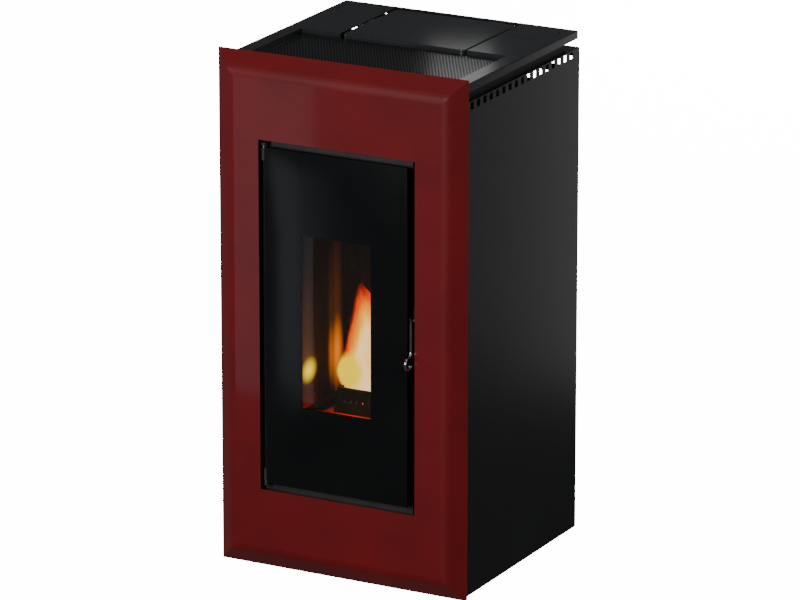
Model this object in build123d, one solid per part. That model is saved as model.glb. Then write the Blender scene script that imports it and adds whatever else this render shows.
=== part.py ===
from build123d import *
from math import cos, radians, sin, tan
import os

# Pellet stove: a framed front panel with a full glass door, two sheet sides, a top cover
# with a grille, a hopper lid and flue knock-outs, and the fire, feed and fans inside.
# Millimetres. X runs across the stove, Y from the plane of the front panel's rim to the
# rear, and Z up from the floor.

# ---------------------------------------------------------------- driving dimensions
SHEET = 1.5
FIT = 0.3
RUNNING_FIT = 0.05

# front panel
FOOT_HEIGHT = 10.0
PANEL_WIDTH = 490.0
PANEL_HEIGHT = 939.0
PANEL_DEPTH = 24.0
PANEL_SLOPE = 36.5
PANEL_BEND = 30.0
HOLE_WIDTH = 307.0
HOLE_HEIGHT = 639.0
HOLE_LIFT = 150.0
CLIP_WIDTH = 20.0
CLIP_LENGTH = 40.0
CLIP_INSET_X = 3.7
CLIP_INSET_Z = 110.0

# cabinet
PANEL_OVERHANG = 9.7
BODY_DEPTH = 442.0
BODY_LIFT = 1.4
BODY_HEIGHT = 893.6
BODY_EDGE = 2.0
SIDE_FLANGE = 13.0
TOP_FLANGE = 28.0
SLOT_COUNT = 17
SLOT_PITCH = 23.6
SLOT_WIDTH = 11.5
SLOT_HEIGHT = 12.6
SLOT_START = 30.6
SLOT_DROP = 8.5
BASE_SHEET = 2.0
BASE_VENT_COUNT = 9
BASE_VENT_WIDTH = 8.0
BASE_VENT_LENGTH = 60.0
BASE_VENT_PITCH = 18.0
FOOT_PAD = 6.0
FOOT_PAD_BEVEL = 2.0
FOOT_COLLAR = 8.0
FOOT_NUT = 7.5
FOOT_NUT_HEIGHT = 6.0
FOOT_STUD_END = 3.0
FOOT_RADIUS = 16.0
FOOT_STUD = 4.0
FOOT_INSET_X = 36.0
FOOT_INSET_Y = 42.0
BULKHEAD_SHEET = 2.0
BULKHEAD_LAP = 9.0

# rear panel
VENT_WIDTH = 92.0
VENT_HEIGHT = 18.4
VENT_COLUMNS = 4
VENT_PITCH_X = 117.4
VENT_ROWS = (878.6, 846.9)
CREST_WIDTH = 400.0
CREST_GAP = 2.0
SCREW_HEAD = 4.0
SCREW_HEAD_HEIGHT = 2.4
SCREW_SHANK = 1.9
SCREW_TAIL = 2.5
SCREW_COUNT = 5
SCREW_INSET = 30.0
FLUE_HOLE_GAP = 3.0
INTAKE_HOLE_GAP = 1.0

# top cover
COVER_INSET_X = 2.3
COVER_INSET_Y = 4.0
COVER_FOLD = 15.0
COVER_GAP = 16.0
RECESS_WIDTH = 406.0
RECESS_FRONT = 15.0
RECESS_REAR = 222.0
RECESS_DEPTH = 8.0
RECESS_LEDGE = 8.0
KNOCKOUT_RADIUS = 42.5
KNOCKOUT_X = 175.0
KNOCKOUT_Y = 388.0
KNOCKOUT_CUT = 1.2
KNOCKOUT_WEB = 8.0
GRILLE_HOLE = 11.0
GRILLE_PITCH = 19.0
COVER_CLIP = 20.0
COVER_CLIP_SHEET = 2.0
COVER_CLIP_INSET = 12.0

# hopper lid and its hinge
LID_WIDTH = 242.0
LID_FRONT = 220.0
LID_REAR = 419.0
LID_CORNER = 8.0
LID_FOLD = 12.0
LID_SIDE_GAP = 4.5
LID_REAR_GAP = 11.0
LID_HINGE_RADIUS = 4.0
LID_PIN_RADIUS = 2.0
LID_KNUCKLE = 15.0
LID_HINGE_X = 80.0
LID_POST = 8.0
LID_POST_DROP = 26.0
LID_GASKET_WIDTH = 6.0
HOPPER_RIM_DROP = 11.0

# door
GLASS_WIDTH = 281.0
GLASS_HEIGHT = 614.0
GLASS_THICK = 5.0
GLASS_PROUD = 2.0
GLASS_LIFT = 13.7
WINDOW_WIDTH = 137.0
WINDOW_HEIGHT = 315.0
WINDOW_LIFT = 149.3
FRAME_INSET = 4.5
FRAME_DEPTH = 15.0
FRAME_WALL = 4.0
WINDOW_MARGIN = 3.5
FRAME_CORNER = 6.0
PANE_THICK = 4.0
PANE_OVERLAP = 8.0
GASKET_RADIUS = 4.5
CHANNEL_WALL = 3.5
CLIP_HEIGHT = 16.0
CLIP_RISE = 30.0
HINGE_X = -145.0
HINGE_Y = -18.0
HINGE_PIN = 2.5
HINGE_KNUCKLE = 4.5
HINGE_PLAY = 0.8
KNUCKLE_INSET = 4.0
KNUCKLE_HEIGHT = 22.0
BRACKET_THICK = 5.0

# lever with its hook
LEVER_X = 147.0
LEVER_THICK = 4.0
LEVER_PIVOT_Y = -13.0
LEVER_PIVOT_Z = 512.0
LEVER_PIN = 2.5
LEVER_EYE = 6.5
STEM_Y = -25.0
STEM_LENGTH = 52.0
HOOK_WIRE = 2.3
HOOK_BEND = 10.5
HOOK_TURN = 230.0
CLAW_REACH = 13.0
CLAW_NOSE = 2.5
CLAW_HEIGHT = 6.0
KEEPER_ROLLER = 3.0
KEEPER_REACH = 21.5
KEEPER_CHEEK = 2.0
KEEPER_HEIGHT = 16.0
KEEPER_FOOT = 20.0
CLAW_GAP = 5.0

# firebox
MOUTH_SHEET = 4.0
MOUTH_MARGIN = 11.5
MOUTH_DROP = 5.0
MOUTH_RISE = 6.0
FIREBOX_WIDTH = 216.0
FIREBOX_DEPTH = 197.5
FIREBOX_BOTTOM = 238.0
FIREBOX_HEIGHT = 466.0
FIREBOX_WALL = 3.0
MOUTH_LIP = 4.0
MOUTH_CORNER = 6.0
LINING_THICK = 11.0
LINING_GROOVE = 6.0
LINING_BAND = 56.0
LINING_HEIGHT = 385.0
GROOVE_START = -24.0
CARRIER_Z = 300.0
CARRIER_THICK = 4.0
CARRIER_LEDGE = 8.0
CARRIER_SLOT_X = 74.0
CARRIER_SLOT_WIDTH = 24.0
CARRIER_SLOT_DEPTH = 90.0
SMOKE_BOX_HEIGHT = 86.0
SMOKE_BOX_FRONT = 20.0
SMOKE_SHEET = 2.0
SMOKE_PORT_FRONT = 25.0
SMOKE_PORT_DEPTH = 40.0
TUBE_FRONT = 14.0
TUBE_END = 4.0
TUBE_RISE = 24.0
DUCT_FRONT = 110.0
DUCT_DEPTH = 70.0
DUCT_MOUTH = 80.0
TUBE_RADIUS = 15.0
TUBE_WALL = 2.0
TUBE_COLUMNS = 5
TUBE_PITCH = 38.0
TUBE_ROWS = 2

# burn pot and ash pan
POT_Y = 92.5
POT_WIDTH = 76.0
POT_CROWN = 45.0
POT_FLARE = 6.6
POT_WALL = 4.0
POT_CUP_WIDTH = 60.0
POT_CUP_DEPTH = 22.0
PAN_HEIGHT = 42.0
PAN_FRONT = 14.0
PAN_DEPTH = 176.0
PAN_WIDTH = 196.0
PAN_TAB = 56.0
PAN_TAB_REACH = 6.0
PAN_TAB_Z = 24.0
POT_GRATE_HOLE = 2.5
POT_GRATE_PITCH = 11.0
POT_AIR_HOLE = 2.0
POT_AIR_PITCH = 12.0

# feed
HOPPER_WIDTH = 230.0
HOPPER_FRONT = 226.5
HOPPER_REAR = 416.0
HOPPER_SHOULDER = 680.0
HOPPER_NECK_Z = 475.0
HOPPER_NECK_WIDTH = 52.0
HOPPER_NECK_FRONT = 335.0
HOPPER_NECK_REAR = 385.0
HOPPER_FOOT = 110.0
AUGER_RADIUS = 24.0
AUGER_CLEARANCE = 2.0
AUGER_WALL = 2.0
AUGER_LENGTH = 226.0
AUGER_TILT = 60.0
AUGER_FOOT_Y = 377.0
AUGER_FOOT_Z = 330.0
AUGER_SHAFT = 10.0
AUGER_PITCH = 36.0
AUGER_BLADE = 3.0
BUSH_LENGTH = 8.0
GUARD_SHEET = 2.0
GUARD_BAR = 6.0
GUARD_CELLS = 4
GUARD_RISE = 14.0
GEARBOX_WIDTH = 66.0
GEARBOX_DEPTH = 50.0
GEARBOX_HEIGHT = 28.0
AUGER_MOTOR_RADIUS = 23.0
AUGER_MOTOR_LENGTH = 44.0
CHUTE_RADIUS = 22.0
CHUTE_TILT = 45.0
CHUTE_END_Z = 430.0
CHUTE_REACH = 60.0

# air and smoke
PLENUM_DEPTH = 23.0
PLENUM_BOTTOM = 131.0
ROTOR_RADIUS = 30.0
ROTOR_LENGTH = 170.0
ROTOR_X = -20.0
ROTOR_Y = 285.0
ROTOR_Z = 76.0
ROTOR_BLADES = 18
ROTOR_SHAFT = 3.0
ROTOR_DISC = 2.0
ROTOR_GAP = 8.0
ROTOR_CASE = 6.0
ROOM_MOTOR_RADIUS = 27.0
ROOM_MOTOR_LENGTH = 44.0
IMPELLER_RADIUS = 55.0
IMPELLER_WIDTH = 34.0
IMPELLER_BLADES = 10
IMPELLER_SHAFT = 4.0
IMPELLER_HUB = 12.0
IMPELLER_HUB_LENGTH = 22.0
IMPELLER_SHAFT_LENGTH = 30.0
EXHAUST_MOTOR_RADIUS = 36.0
EXHAUST_MOTOR_LENGTH = 42.0
FAN_EYE = 32.0
FAN_SCROLL_GROWTH = 32.0
FAN_X = 110.0
FAN_Y = 318.0
FAN_Z = 165.0
FAN_WIDTH = 50.0
FAN_WALL = 2.0
FAN_OUTLET_HEIGHT = 56.0
FAN_REAR = 400.0
FLUE_DROP = 57.0
ADAPTOR_LENGTH = 30.0
FLUE_RADIUS = 40.0
FLUE_WALL = 1.5
FLUE_STAND = 40.0
INTAKE_RADIUS = 25.0
INTAKE_WALL = 1.5
INTAKE_X = -72.0
INTAKE_Z = 268.0
INTAKE_STAND = 24.0
INTAKE_BEAD = 2.0
INTAKE_BEAD_LENGTH = 3.5
SMOKE_DUCT_WIDTH = 25.0
IGNITER_RADIUS = 6.0
IGNITER_Z = 322.0
PLENUM_RISE = 10.0

# electrics on the rear panel
INLET_INSET = 42.3
INLET_Z = 120.0
INLET_WIDTH = 48.0
INLET_HEIGHT = 28.0
INLET_DEPTH = 20.0
SWITCH_PITCH = 38.0
SWITCH_WIDTH = 22.0
SWITCH_HEIGHT = 28.0
SWITCH_DEPTH = 16.0
SWITCH_RIM = 3.0
ROCKER_PLAY = 1.5
RESET_Z = 190.0
RESET_RADIUS = 9.0
RESET_DEPTH = 16.0
AXLE = 1.5
PIN_PITCH = 8.0
BOARD_X = 12.0
BOARD_FRONT = 300.0
BOARD_BOTTOM = 420.0
BOARD_TOP = 600.0
BOARD_TAB = 20.0
BOARD_STAND = 6.0
BOARD_STAND_FRONT = 10.0
BOARD_STAND_REAR = 30.0
BOARD_STAND_INSET = 12.0
BOARD_THICK = 1.6
BOARD_RELAY = 24.0
BOARD_PLUG = 24.0
BOARD_CAPACITOR = 8.0

# ---------------------------------------------------------------- places that follow
PANEL_BACK = -PANEL_DEPTH + SHEET
HOLE_BOTTOM = FOOT_HEIGHT + HOLE_LIFT
HOLE_TOP = HOLE_BOTTOM + HOLE_HEIGHT
SIDE_X = PANEL_WIDTH / 2 - PANEL_OVERHANG
INNER_X = SIDE_X - SHEET
SIDE_BOTTOM = FOOT_HEIGHT + BODY_LIFT
SIDE_TOP = SIDE_BOTTOM + BODY_HEIGHT
BASE_BOTTOM = SIDE_BOTTOM + SHEET
BASE_TOP = BASE_BOTTOM + BASE_SHEET
FLANGE_EDGE = SIDE_X - SIDE_FLANGE
INLET_X = INLET_INSET - FLANGE_EDGE
SWITCH_X = INLET_X + SWITCH_PITCH
REAR_OUT = BODY_DEPTH - SHEET
COVER_X = SIDE_X - COVER_INSET_X
COVER_DEPTH = BODY_DEPTH - COVER_INSET_Y
REAR_IN = REAR_OUT - SHEET
BULKHEAD_FRONT = SHEET
BULKHEAD_REAR = BULKHEAD_FRONT + BULKHEAD_SHEET
INNER_TOP = SIDE_TOP - SHEET
COVER_BOTTOM = SIDE_TOP + COVER_GAP
COVER_TOP = COVER_BOTTOM + COVER_FOLD
COVER_UNDER = COVER_TOP - SHEET
GRILLE_TOP = COVER_TOP - RECESS_DEPTH
GRILLE_UNDER = GRILLE_TOP - SHEET
GLASS_FRONT = -PANEL_DEPTH - GLASS_PROUD
GLASS_BACK = GLASS_FRONT + GLASS_THICK
GLASS_BOTTOM = HOLE_BOTTOM + GLASS_LIFT
GLASS_TOP = GLASS_BOTTOM + GLASS_HEIGHT
WINDOW_BOTTOM = GLASS_BOTTOM + WINDOW_LIFT
FRAME_X = GLASS_WIDTH / 2 - FRAME_INSET
FRAME_BOTTOM = GLASS_BOTTOM + FRAME_INSET
FRAME_TOP = GLASS_TOP - FRAME_INSET
FRAME_BACK = GLASS_BACK + FRAME_DEPTH
FRAME_FACE = GLASS_BACK + FRAME_WALL
MOUTH_BACK = BULKHEAD_FRONT
MOUTH_FRONT = MOUTH_BACK - MOUTH_SHEET
MOUTH_X = HOLE_WIDTH / 2 + MOUTH_MARGIN
MOUTH_EDGE = LEVER_X - 1.6 * CLAW_GAP
MOUTH_BOTTOM = HOLE_BOTTOM - MOUTH_DROP
MOUTH_TOP = HOLE_TOP + MOUTH_RISE
FIREBOX_X = FIREBOX_WIDTH / 2
FIREBOX_OUT = FIREBOX_X + FIREBOX_WALL
FIREBOX_FRONT = MOUTH_BACK
FIREBOX_BACK = FIREBOX_FRONT + FIREBOX_DEPTH
FIREBOX_REAR = FIREBOX_BACK + FIREBOX_WALL
FIREBOX_FLOOR = FIREBOX_BOTTOM + FIREBOX_WALL
FIREBOX_TOP = FIREBOX_BOTTOM + FIREBOX_HEIGHT
FIREBOX_CEILING = FIREBOX_TOP - FIREBOX_WALL
OPENING_X = FIREBOX_X - MOUTH_LIP
OPENING_BOTTOM = FIREBOX_FLOOR + MOUTH_LIP
OPENING_TOP = FIREBOX_CEILING - 1.0
LINING_X = FIREBOX_X - LINING_THICK
LINING_Y = FIREBOX_BACK - LINING_THICK
CARRIER_BOTTOM = CARRIER_Z - CARRIER_THICK
SMOKE_TOP = FIREBOX_TOP + SMOKE_BOX_HEIGHT
PLENUM_FRONT = FIREBOX_REAR
PLENUM_BACK = PLENUM_FRONT + PLENUM_DEPTH
PLENUM_TOP = SMOKE_TOP + PLENUM_RISE
HINGE_TOP = GLASS_TOP + HINGE_PLAY
HINGE_BOTTOM = GLASS_BOTTOM - HINGE_PLAY
ROLLER_Y = LEVER_PIVOT_Y + KEEPER_REACH
CLAW_TOP = LEVER_PIVOT_Z + 2.0
ROLLER_Z = CLAW_TOP + FIT + KEEPER_ROLLER
AUGER_CASE = AUGER_RADIUS + AUGER_CLEARANCE + AUGER_WALL
FLUE_Z = FAN_Z - FLUE_DROP
FLUE_END = BODY_DEPTH + FLUE_STAND
HOOK_TIP = STEM_Y - 2 * HOOK_BEND - HOOK_WIRE
CENTRE_Y = (HOOK_TIP + FLUE_END) / 2
LID_AXIS_Y = LID_REAR + LID_REAR_GAP / 2 + 0.5
LID_AXIS_Z = COVER_TOP - LID_HINGE_RADIUS - 1.0

nodes = {}


def keep(name, *solids):
    """Hold a sub-part under its node name, with the origin under the stove's middle."""
    moved = [Pos(0, -CENTRE_Y, 0) * solid for solid in solids]
    nodes[name] = Compound(children=moved) if len(moved) > 1 else moved[0]


def block(x0, x1, y0, y1, z0, z1):
    """Box between two corners."""
    return Pos((x0 + x1) / 2, (y0 + y1) / 2, (z0 + z1) / 2) * Box(x1 - x0, y1 - y0, z1 - z0)


def wide(half, y0, y1, z0, z1):
    """Box centred on X."""
    return block(-half, half, y0, y1, z0, z1)


def rod_x(radius, x0, x1, y, z):
    return Pos((x0 + x1) / 2, y, z) * Rot(0, 90, 0) * Cylinder(radius, x1 - x0)


def rod_y(radius, y0, y1, x, z):
    return Pos(x, (y0 + y1) / 2, z) * Rot(90, 0, 0) * Cylinder(radius, y1 - y0)


def rod_z(radius, z0, z1, x, y):
    return Pos(x, y, (z0 + z1) / 2) * Cylinder(radius, z1 - z0)


def mirrored(solid):
    return mirror(solid, about=Plane.YZ)


def side_plate(points, x0, x1):
    """Outline given as (y, z) points, as thick as x0 to x1."""
    outline = Plane.YZ.offset(x0) * make_face(Polyline(*points, close=True))
    return extrude(outline, x1 - x0, dir=(1, 0, 0))


# ---------------------------------------------------------------- front panel
def panel_form(width, height, depth, bend):
    """Frustum with a soft bend between its four margins and its flat face."""
    inset = depth / tan(radians(PANEL_SLOPE))
    middle = FOOT_HEIGHT + PANEL_HEIGHT / 2
    rim = Plane((0, 0, middle), x_dir=(1, 0, 0), z_dir=(0, -1, 0))
    rear = rim * Rectangle(width, height)
    face = rim.offset(depth) * Rectangle(width - 2 * inset, height - 2 * inset)
    form = loft([rear, face], ruled=True)
    return fillet(form.edges().group_by(Axis.Y)[0], bend)


def front_panel():
    edge = SHEET / sin(radians(PANEL_SLOPE))
    outer = panel_form(PANEL_WIDTH, PANEL_HEIGHT, PANEL_DEPTH, PANEL_BEND)
    depth = PANEL_DEPTH - SHEET
    inner = panel_form(PANEL_WIDTH - 2 * edge, PANEL_HEIGHT - 2 * edge, depth, PANEL_BEND - SHEET)
    hole = wide(HOLE_WIDTH / 2, -PANEL_DEPTH - 1, 0, HOLE_BOTTOM, HOLE_TOP)
    keep("front_panel", outer - inner - hole)


def panel_flat():
    """Half the width of the panel's flat, inside its bent margins."""
    slope = radians(PANEL_SLOPE)
    return PANEL_WIDTH / 2 - PANEL_DEPTH / tan(slope) - PANEL_BEND * tan(slope / 2)


def panel_brackets():
    """Channels that hold the panel's flat back off the bulkhead."""
    half = CLIP_WIDTH / 2
    rise = CLIP_LENGTH / 2
    outer = wide(half, PANEL_BACK, BULKHEAD_FRONT, -rise, rise)
    inner = wide(half + 1, PANEL_BACK + SHEET, BULKHEAD_FRONT - SHEET, -rise - 1, rise - SHEET)
    clip = outer - inner
    x = panel_flat() - CLIP_INSET_X - half
    low = FOOT_HEIGHT + CLIP_INSET_Z
    high = FOOT_HEIGHT + PANEL_HEIGHT - CLIP_INSET_Z
    keep("panel_brackets", *[Pos(sx * x, 0, z) * clip for sx in (-1, 1) for z in (low, high)])


# ---------------------------------------------------------------- cabinet
def side_panel():
    """Right-hand side: a folded tray with a row of slots under its top edge."""
    skin = block(FLANGE_EDGE, SIDE_X, 0, BODY_DEPTH, SIDE_BOTTOM, SIDE_TOP)
    outer_edges = skin.edges().filter_by(Axis.Z).group_by(Axis.X)[-1]
    skin = fillet(outer_edges, BODY_EDGE)
    skin += block(SIDE_X - TOP_FLANGE, FLANGE_EDGE, 0, BODY_DEPTH, INNER_TOP, SIDE_TOP)
    hollow = block(FLANGE_EDGE - 1, INNER_X, SHEET, BODY_DEPTH - SHEET, SIDE_BOTTOM + SHEET, INNER_TOP)
    z = SIDE_TOP - SLOT_DROP
    half = SLOT_WIDTH / 2
    rise = SLOT_HEIGHT / 2
    for i in range(SLOT_COUNT):
        y = SLOT_START + i * SLOT_PITCH
        hollow += block(INNER_X - 1, SIDE_X + 1, y - half, y + half, z - rise, z + rise)
    return skin - hollow


def base_plate():
    plate = wide(INNER_X, SHEET, REAR_OUT, BASE_BOTTOM, BASE_TOP)
    for i in range(BASE_VENT_COUNT):
        x = ROTOR_X + (i - (BASE_VENT_COUNT - 1) / 2) * BASE_VENT_PITCH
        slot = SlotOverall(BASE_VENT_LENGTH, BASE_VENT_WIDTH, rotation=90)
        plate -= Pos(x, ROTOR_Y, BASE_BOTTOM - 1) * extrude(slot, BASE_SHEET + 2)
    for x, y in foot_places():
        plate -= rod_z(FOOT_STUD + FIT, BASE_BOTTOM - 1, BASE_TOP + 1, x, y)
    keep("base_plate", plate)


def foot_places():
    x = SIDE_X - FOOT_INSET_X
    return [(sx * x, y) for sx in (-1, 1) for y in (FOOT_INSET_Y, BODY_DEPTH - FOOT_INSET_Y)]


def levelling_feet():
    """Pad with a stud up through the base plate and a nut on top."""
    end = BASE_TOP + FOOT_NUT_HEIGHT + FOOT_STUD_END
    collar_top = BASE_BOTTOM - FIT
    outline = Polyline(
        (0, 0),
        (FOOT_RADIUS, 0),
        (FOOT_RADIUS, FOOT_PAD - FOOT_PAD_BEVEL),
        (FOOT_RADIUS - FOOT_PAD_BEVEL, FOOT_PAD),
        (FOOT_COLLAR, FOOT_PAD),
        (FOOT_COLLAR, collar_top),
        (FOOT_STUD, collar_top),
        (FOOT_STUD, end),
        (0, end),
        close=True,
    )
    foot = revolve(Plane.XZ * make_face(outline), Axis.Z)
    foot += Pos(0, 0, BASE_TOP) * extrude(RegularPolygon(FOOT_NUT, 6), FOOT_NUT_HEIGHT)
    keep("levelling_feet", *[Pos(x, y, 0) * foot for x, y in foot_places()])


def front_bulkhead():
    plate = wide(INNER_X, BULKHEAD_FRONT, BULKHEAD_REAR, BASE_TOP, INNER_TOP)
    low = MOUTH_BOTTOM + BULKHEAD_LAP
    high = MOUTH_TOP - BULKHEAD_LAP
    plate -= wide(MOUTH_X - BULKHEAD_LAP, 0, BULKHEAD_REAR + 1, low, high)
    keep("front_bulkhead", plate)


def rear_panel():
    plate = wide(INNER_X, REAR_IN, REAR_OUT, BASE_TOP, INNER_TOP)
    plate += wide(CREST_WIDTH / 2, REAR_IN, REAR_OUT, INNER_TOP, COVER_BOTTOM - CREST_GAP)
    for z in VENT_ROWS:
        for i in range(VENT_COLUMNS):
            x = (i - (VENT_COLUMNS - 1) / 2) * VENT_PITCH_X
            plate -= Pos(x, REAR_OUT - 3, z) * Box(VENT_WIDTH, 12, VENT_HEIGHT)
    plate -= rod_y(FLUE_RADIUS + FLUE_HOLE_GAP, REAR_IN - 1, BODY_DEPTH, FAN_X, FLUE_Z)
    plate -= rod_y(INTAKE_RADIUS + INTAKE_HOLE_GAP, REAR_IN - 1, BODY_DEPTH, INTAKE_X, INTAKE_Z)
    plate -= rod_y(RESET_RADIUS, REAR_IN - 1, BODY_DEPTH, INLET_X, RESET_Z)
    plate -= Pos(INLET_X, REAR_OUT, INLET_Z) * Box(INLET_WIDTH - 8, 12, INLET_HEIGHT - 4)
    plate -= Pos(SWITCH_X, REAR_OUT, INLET_Z) * Box(SWITCH_WIDTH, 12, SWITCH_HEIGHT - 4)
    for x, z in screw_places():
        plate -= rod_y(SCREW_SHANK, REAR_IN - 1, BODY_DEPTH + 1, x, z)
    keep("rear_panel", plate)


def screw_places():
    x = SIDE_X - SIDE_FLANGE / 2
    low = SIDE_BOTTOM + SCREW_INSET
    step = (BODY_HEIGHT - 2 * SCREW_INSET) / (SCREW_COUNT - 1)
    return [(sx * x, low + step * i) for sx in (-1, 1) for i in range(SCREW_COUNT)]


def rear_screws():
    shank = rod_y(SCREW_SHANK, REAR_IN - SCREW_TAIL, BODY_DEPTH, 0, 0)
    head = rod_y(SCREW_HEAD, BODY_DEPTH, BODY_DEPTH + SCREW_HEAD_HEIGHT, 0, 0)
    head = fillet(head.edges().group_by(Axis.Y)[-1], SCREW_HEAD_HEIGHT / 2)
    keep("rear_screws", *[Pos(x, 0, z) * (shank + head) for x, z in screw_places()])


def side_panels():
    side = side_panel()
    for x, z in screw_places():
        if x > 0:
            side -= rod_y(SCREW_SHANK, REAR_OUT - 1, BODY_DEPTH + 1, x, z)
    keep("side_panel_right", side)
    keep("side_panel_left", mirrored(side))


# ---------------------------------------------------------------- top cover
def top_cover():
    """One folded sheet: skirt all round, sunk ledge for the grille, gap for the lid."""
    half = COVER_X
    tray = wide(half, 0, COVER_DEPTH, COVER_BOTTOM, COVER_TOP)
    tray = fillet(tray.edges().group_by(Axis.Z)[-1], BODY_EDGE)
    tray -= wide(half - SHEET, SHEET, COVER_DEPTH - SHEET, COVER_BOTTOM - 1, COVER_UNDER)
    ledge_bottom = GRILLE_UNDER - SHEET
    ring = wide(RECESS_WIDTH / 2 + SHEET, SHEET, RECESS_REAR + SHEET, ledge_bottom, COVER_UNDER)
    ring -= wide(RECESS_WIDTH / 2, RECESS_FRONT, RECESS_REAR, GRILLE_UNDER, COVER_TOP)
    lip = RECESS_WIDTH / 2 - RECESS_LEDGE
    ring -= wide(lip, RECESS_FRONT + 5, RECESS_REAR - RECESS_LEDGE, ledge_bottom - 1, COVER_TOP)
    ring -= wide(RECESS_WIDTH, 0, RECESS_FRONT - SHEET, ledge_bottom - 1, COVER_TOP)
    cover = tray + ring
    cover -= wide(RECESS_WIDTH / 2, RECESS_FRONT, RECESS_REAR, GRILLE_UNDER, COVER_TOP + 1)
    lid_half = LID_WIDTH / 2 + LID_SIDE_GAP
    cover -= wide(lid_half, LID_FRONT, LID_REAR + LID_REAR_GAP, ledge_bottom - 1, COVER_TOP + 1)
    cut = knockout_cut()
    cover -= cut
    cover -= mirrored(cut)
    keep("top_cover", cover)


def knockout_cut():
    """Circle cut through the sheet but for four webs."""
    ring = Cylinder(KNOCKOUT_RADIUS, 4) - Cylinder(KNOCKOUT_RADIUS - KNOCKOUT_CUT, 4)
    web = Box(2.2 * KNOCKOUT_RADIUS, KNOCKOUT_WEB, 5)
    ring -= Rot(0, 0, 45) * web
    ring -= Rot(0, 0, -45) * web
    return Pos(KNOCKOUT_X, KNOCKOUT_Y, COVER_TOP - SHEET / 2) * ring


def cover_brackets():
    """Channels from the sides' top flanges up to the underside of the cover."""
    half = COVER_CLIP / 2
    wall = COVER_CLIP_SHEET
    outer = wide(half, -half, half, SIDE_TOP, COVER_UNDER)
    bracket = outer - wide(half - wall, -half - 1, half + 1, SIDE_TOP + wall, COVER_UNDER - wall)
    inset = SHEET + COVER_CLIP_INSET
    x = COVER_X - inset
    places = [(sx * x, y) for sx in (-1, 1) for y in (inset, COVER_DEPTH - inset)]
    keep("cover_brackets", *[Pos(x, y, 0) * bracket for x, y in places])


def top_grille():
    """Perforated sheet on the recess ledge, holes in staggered rows."""
    half = RECESS_WIDTH / 2 - FIT
    front = RECESS_FRONT + FIT
    rear = LID_FRONT - 1
    plate = wide(half, front, rear, GRILLE_UNDER, GRILLE_TOP)
    hole = extrude(RegularPolygon(GRILLE_HOLE / 2, 6), SHEET * 3)
    row_pitch = GRILLE_PITCH * sin(radians(60))
    columns = int((2 * (half - RECESS_LEDGE) - GRILLE_HOLE) / GRILLE_PITCH)
    rows = int((rear - front - 2 * RECESS_LEDGE - GRILLE_HOLE) / row_pitch) + 1
    middle = (front + rear) / 2
    holes = []
    for row in range(rows):
        y = middle + (row - (rows - 1) / 2) * row_pitch
        count = columns + 1 - row % 2
        for i in range(count):
            x = (i - (count - 1) / 2) * GRILLE_PITCH
            holes.append(Pos(x, y, GRILLE_UNDER - SHEET) * hole)
    keep("top_grille", plate - holes)


# ---------------------------------------------------------------- hopper lid
def hopper_lid():
    half = LID_WIDTH / 2
    lid = wide(half, LID_FRONT, LID_REAR, COVER_TOP - LID_FOLD, COVER_TOP)
    lid = fillet(lid.edges().filter_by(Axis.Z), LID_CORNER)
    lid = fillet(lid.edges().group_by(Axis.Z)[-1], BODY_EDGE)
    inside = wide(half - SHEET, LID_FRONT + SHEET, LID_REAR - SHEET, COVER_TOP - LID_FOLD - 1, COVER_UNDER)
    inside = fillet(inside.edges().filter_by(Axis.Z), LID_CORNER - SHEET)
    keep("hopper_lid", lid - inside)


def lid_gasket():
    """Strip under the lid that lands on the hopper's rim."""
    half = HOPPER_WIDTH / 2
    strip = LID_GASKET_WIDTH
    front = HOPPER_FRONT - 1
    rear = HOPPER_REAR - 1
    outer = wide(half + 2, front, rear, hopper_top() + FIT, COVER_UNDER)
    inner = wide(half + 2 - strip, front + strip, rear - strip, 0, COVER_TOP)
    keep("lid_gasket", outer - inner)


def hopper_top():
    return COVER_TOP - HOPPER_RIM_DROP


def lid_hinges():
    """Two hinges in the gap behind the lid: lid knuckle between two fixed ones."""
    leaves = []
    brackets = []
    pins = []
    k = LID_KNUCKLE / 2
    for sx in (-1, 1):
        x = sx * LID_HINGE_X
        barrel = rod_x(LID_HINGE_RADIUS, x - k, x + k, LID_AXIS_Y, LID_AXIS_Z)
        arm = block(x - k, x + k, LID_REAR, LID_AXIS_Y, LID_AXIS_Z - 1, LID_AXIS_Z + 2)
        bore = rod_x(LID_PIN_RADIUS + RUNNING_FIT, x - 3 * k, x + 3 * k, LID_AXIS_Y, LID_AXIS_Z)
        leaves.append(barrel + arm - bore)
        for end in (-1, 1):
            a = x + end * (k + FIT)
            b = a + end * LID_POST
            lo, hi = min(a, b), max(a, b)
            post = rod_x(LID_HINGE_RADIUS, lo, hi, LID_AXIS_Y, LID_AXIS_Z)
            back = LID_AXIS_Y + LID_HINGE_RADIUS
            foot = hopper_top() - LID_POST_DROP
            post += block(lo, hi, LID_AXIS_Y - 1, back, foot, LID_AXIS_Z)
            post += block(lo, hi, HOPPER_REAR, back, foot, foot + LID_FOLD + LID_POST)
            brackets.append(post - rod_x(LID_PIN_RADIUS, lo - 1, hi + 1, LID_AXIS_Y, LID_AXIS_Z))
        reach = k + FIT + LID_POST
        pins.append(rod_x(LID_PIN_RADIUS, x - reach, x + reach, LID_AXIS_Y, LID_AXIS_Z))
    keep("lid_hinge_leaves", *leaves)
    keep("lid_hinge_brackets", *brackets)
    keep("lid_hinge_pins", *pins)


# ---------------------------------------------------------------- door
def door_glass():
    glass = wide(GLASS_WIDTH / 2, GLASS_FRONT, GLASS_BACK, GLASS_BOTTOM, GLASS_TOP)
    keep("door_glass", chamfer(glass.edges().group_by(Axis.Y)[0], 0.8))


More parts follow.
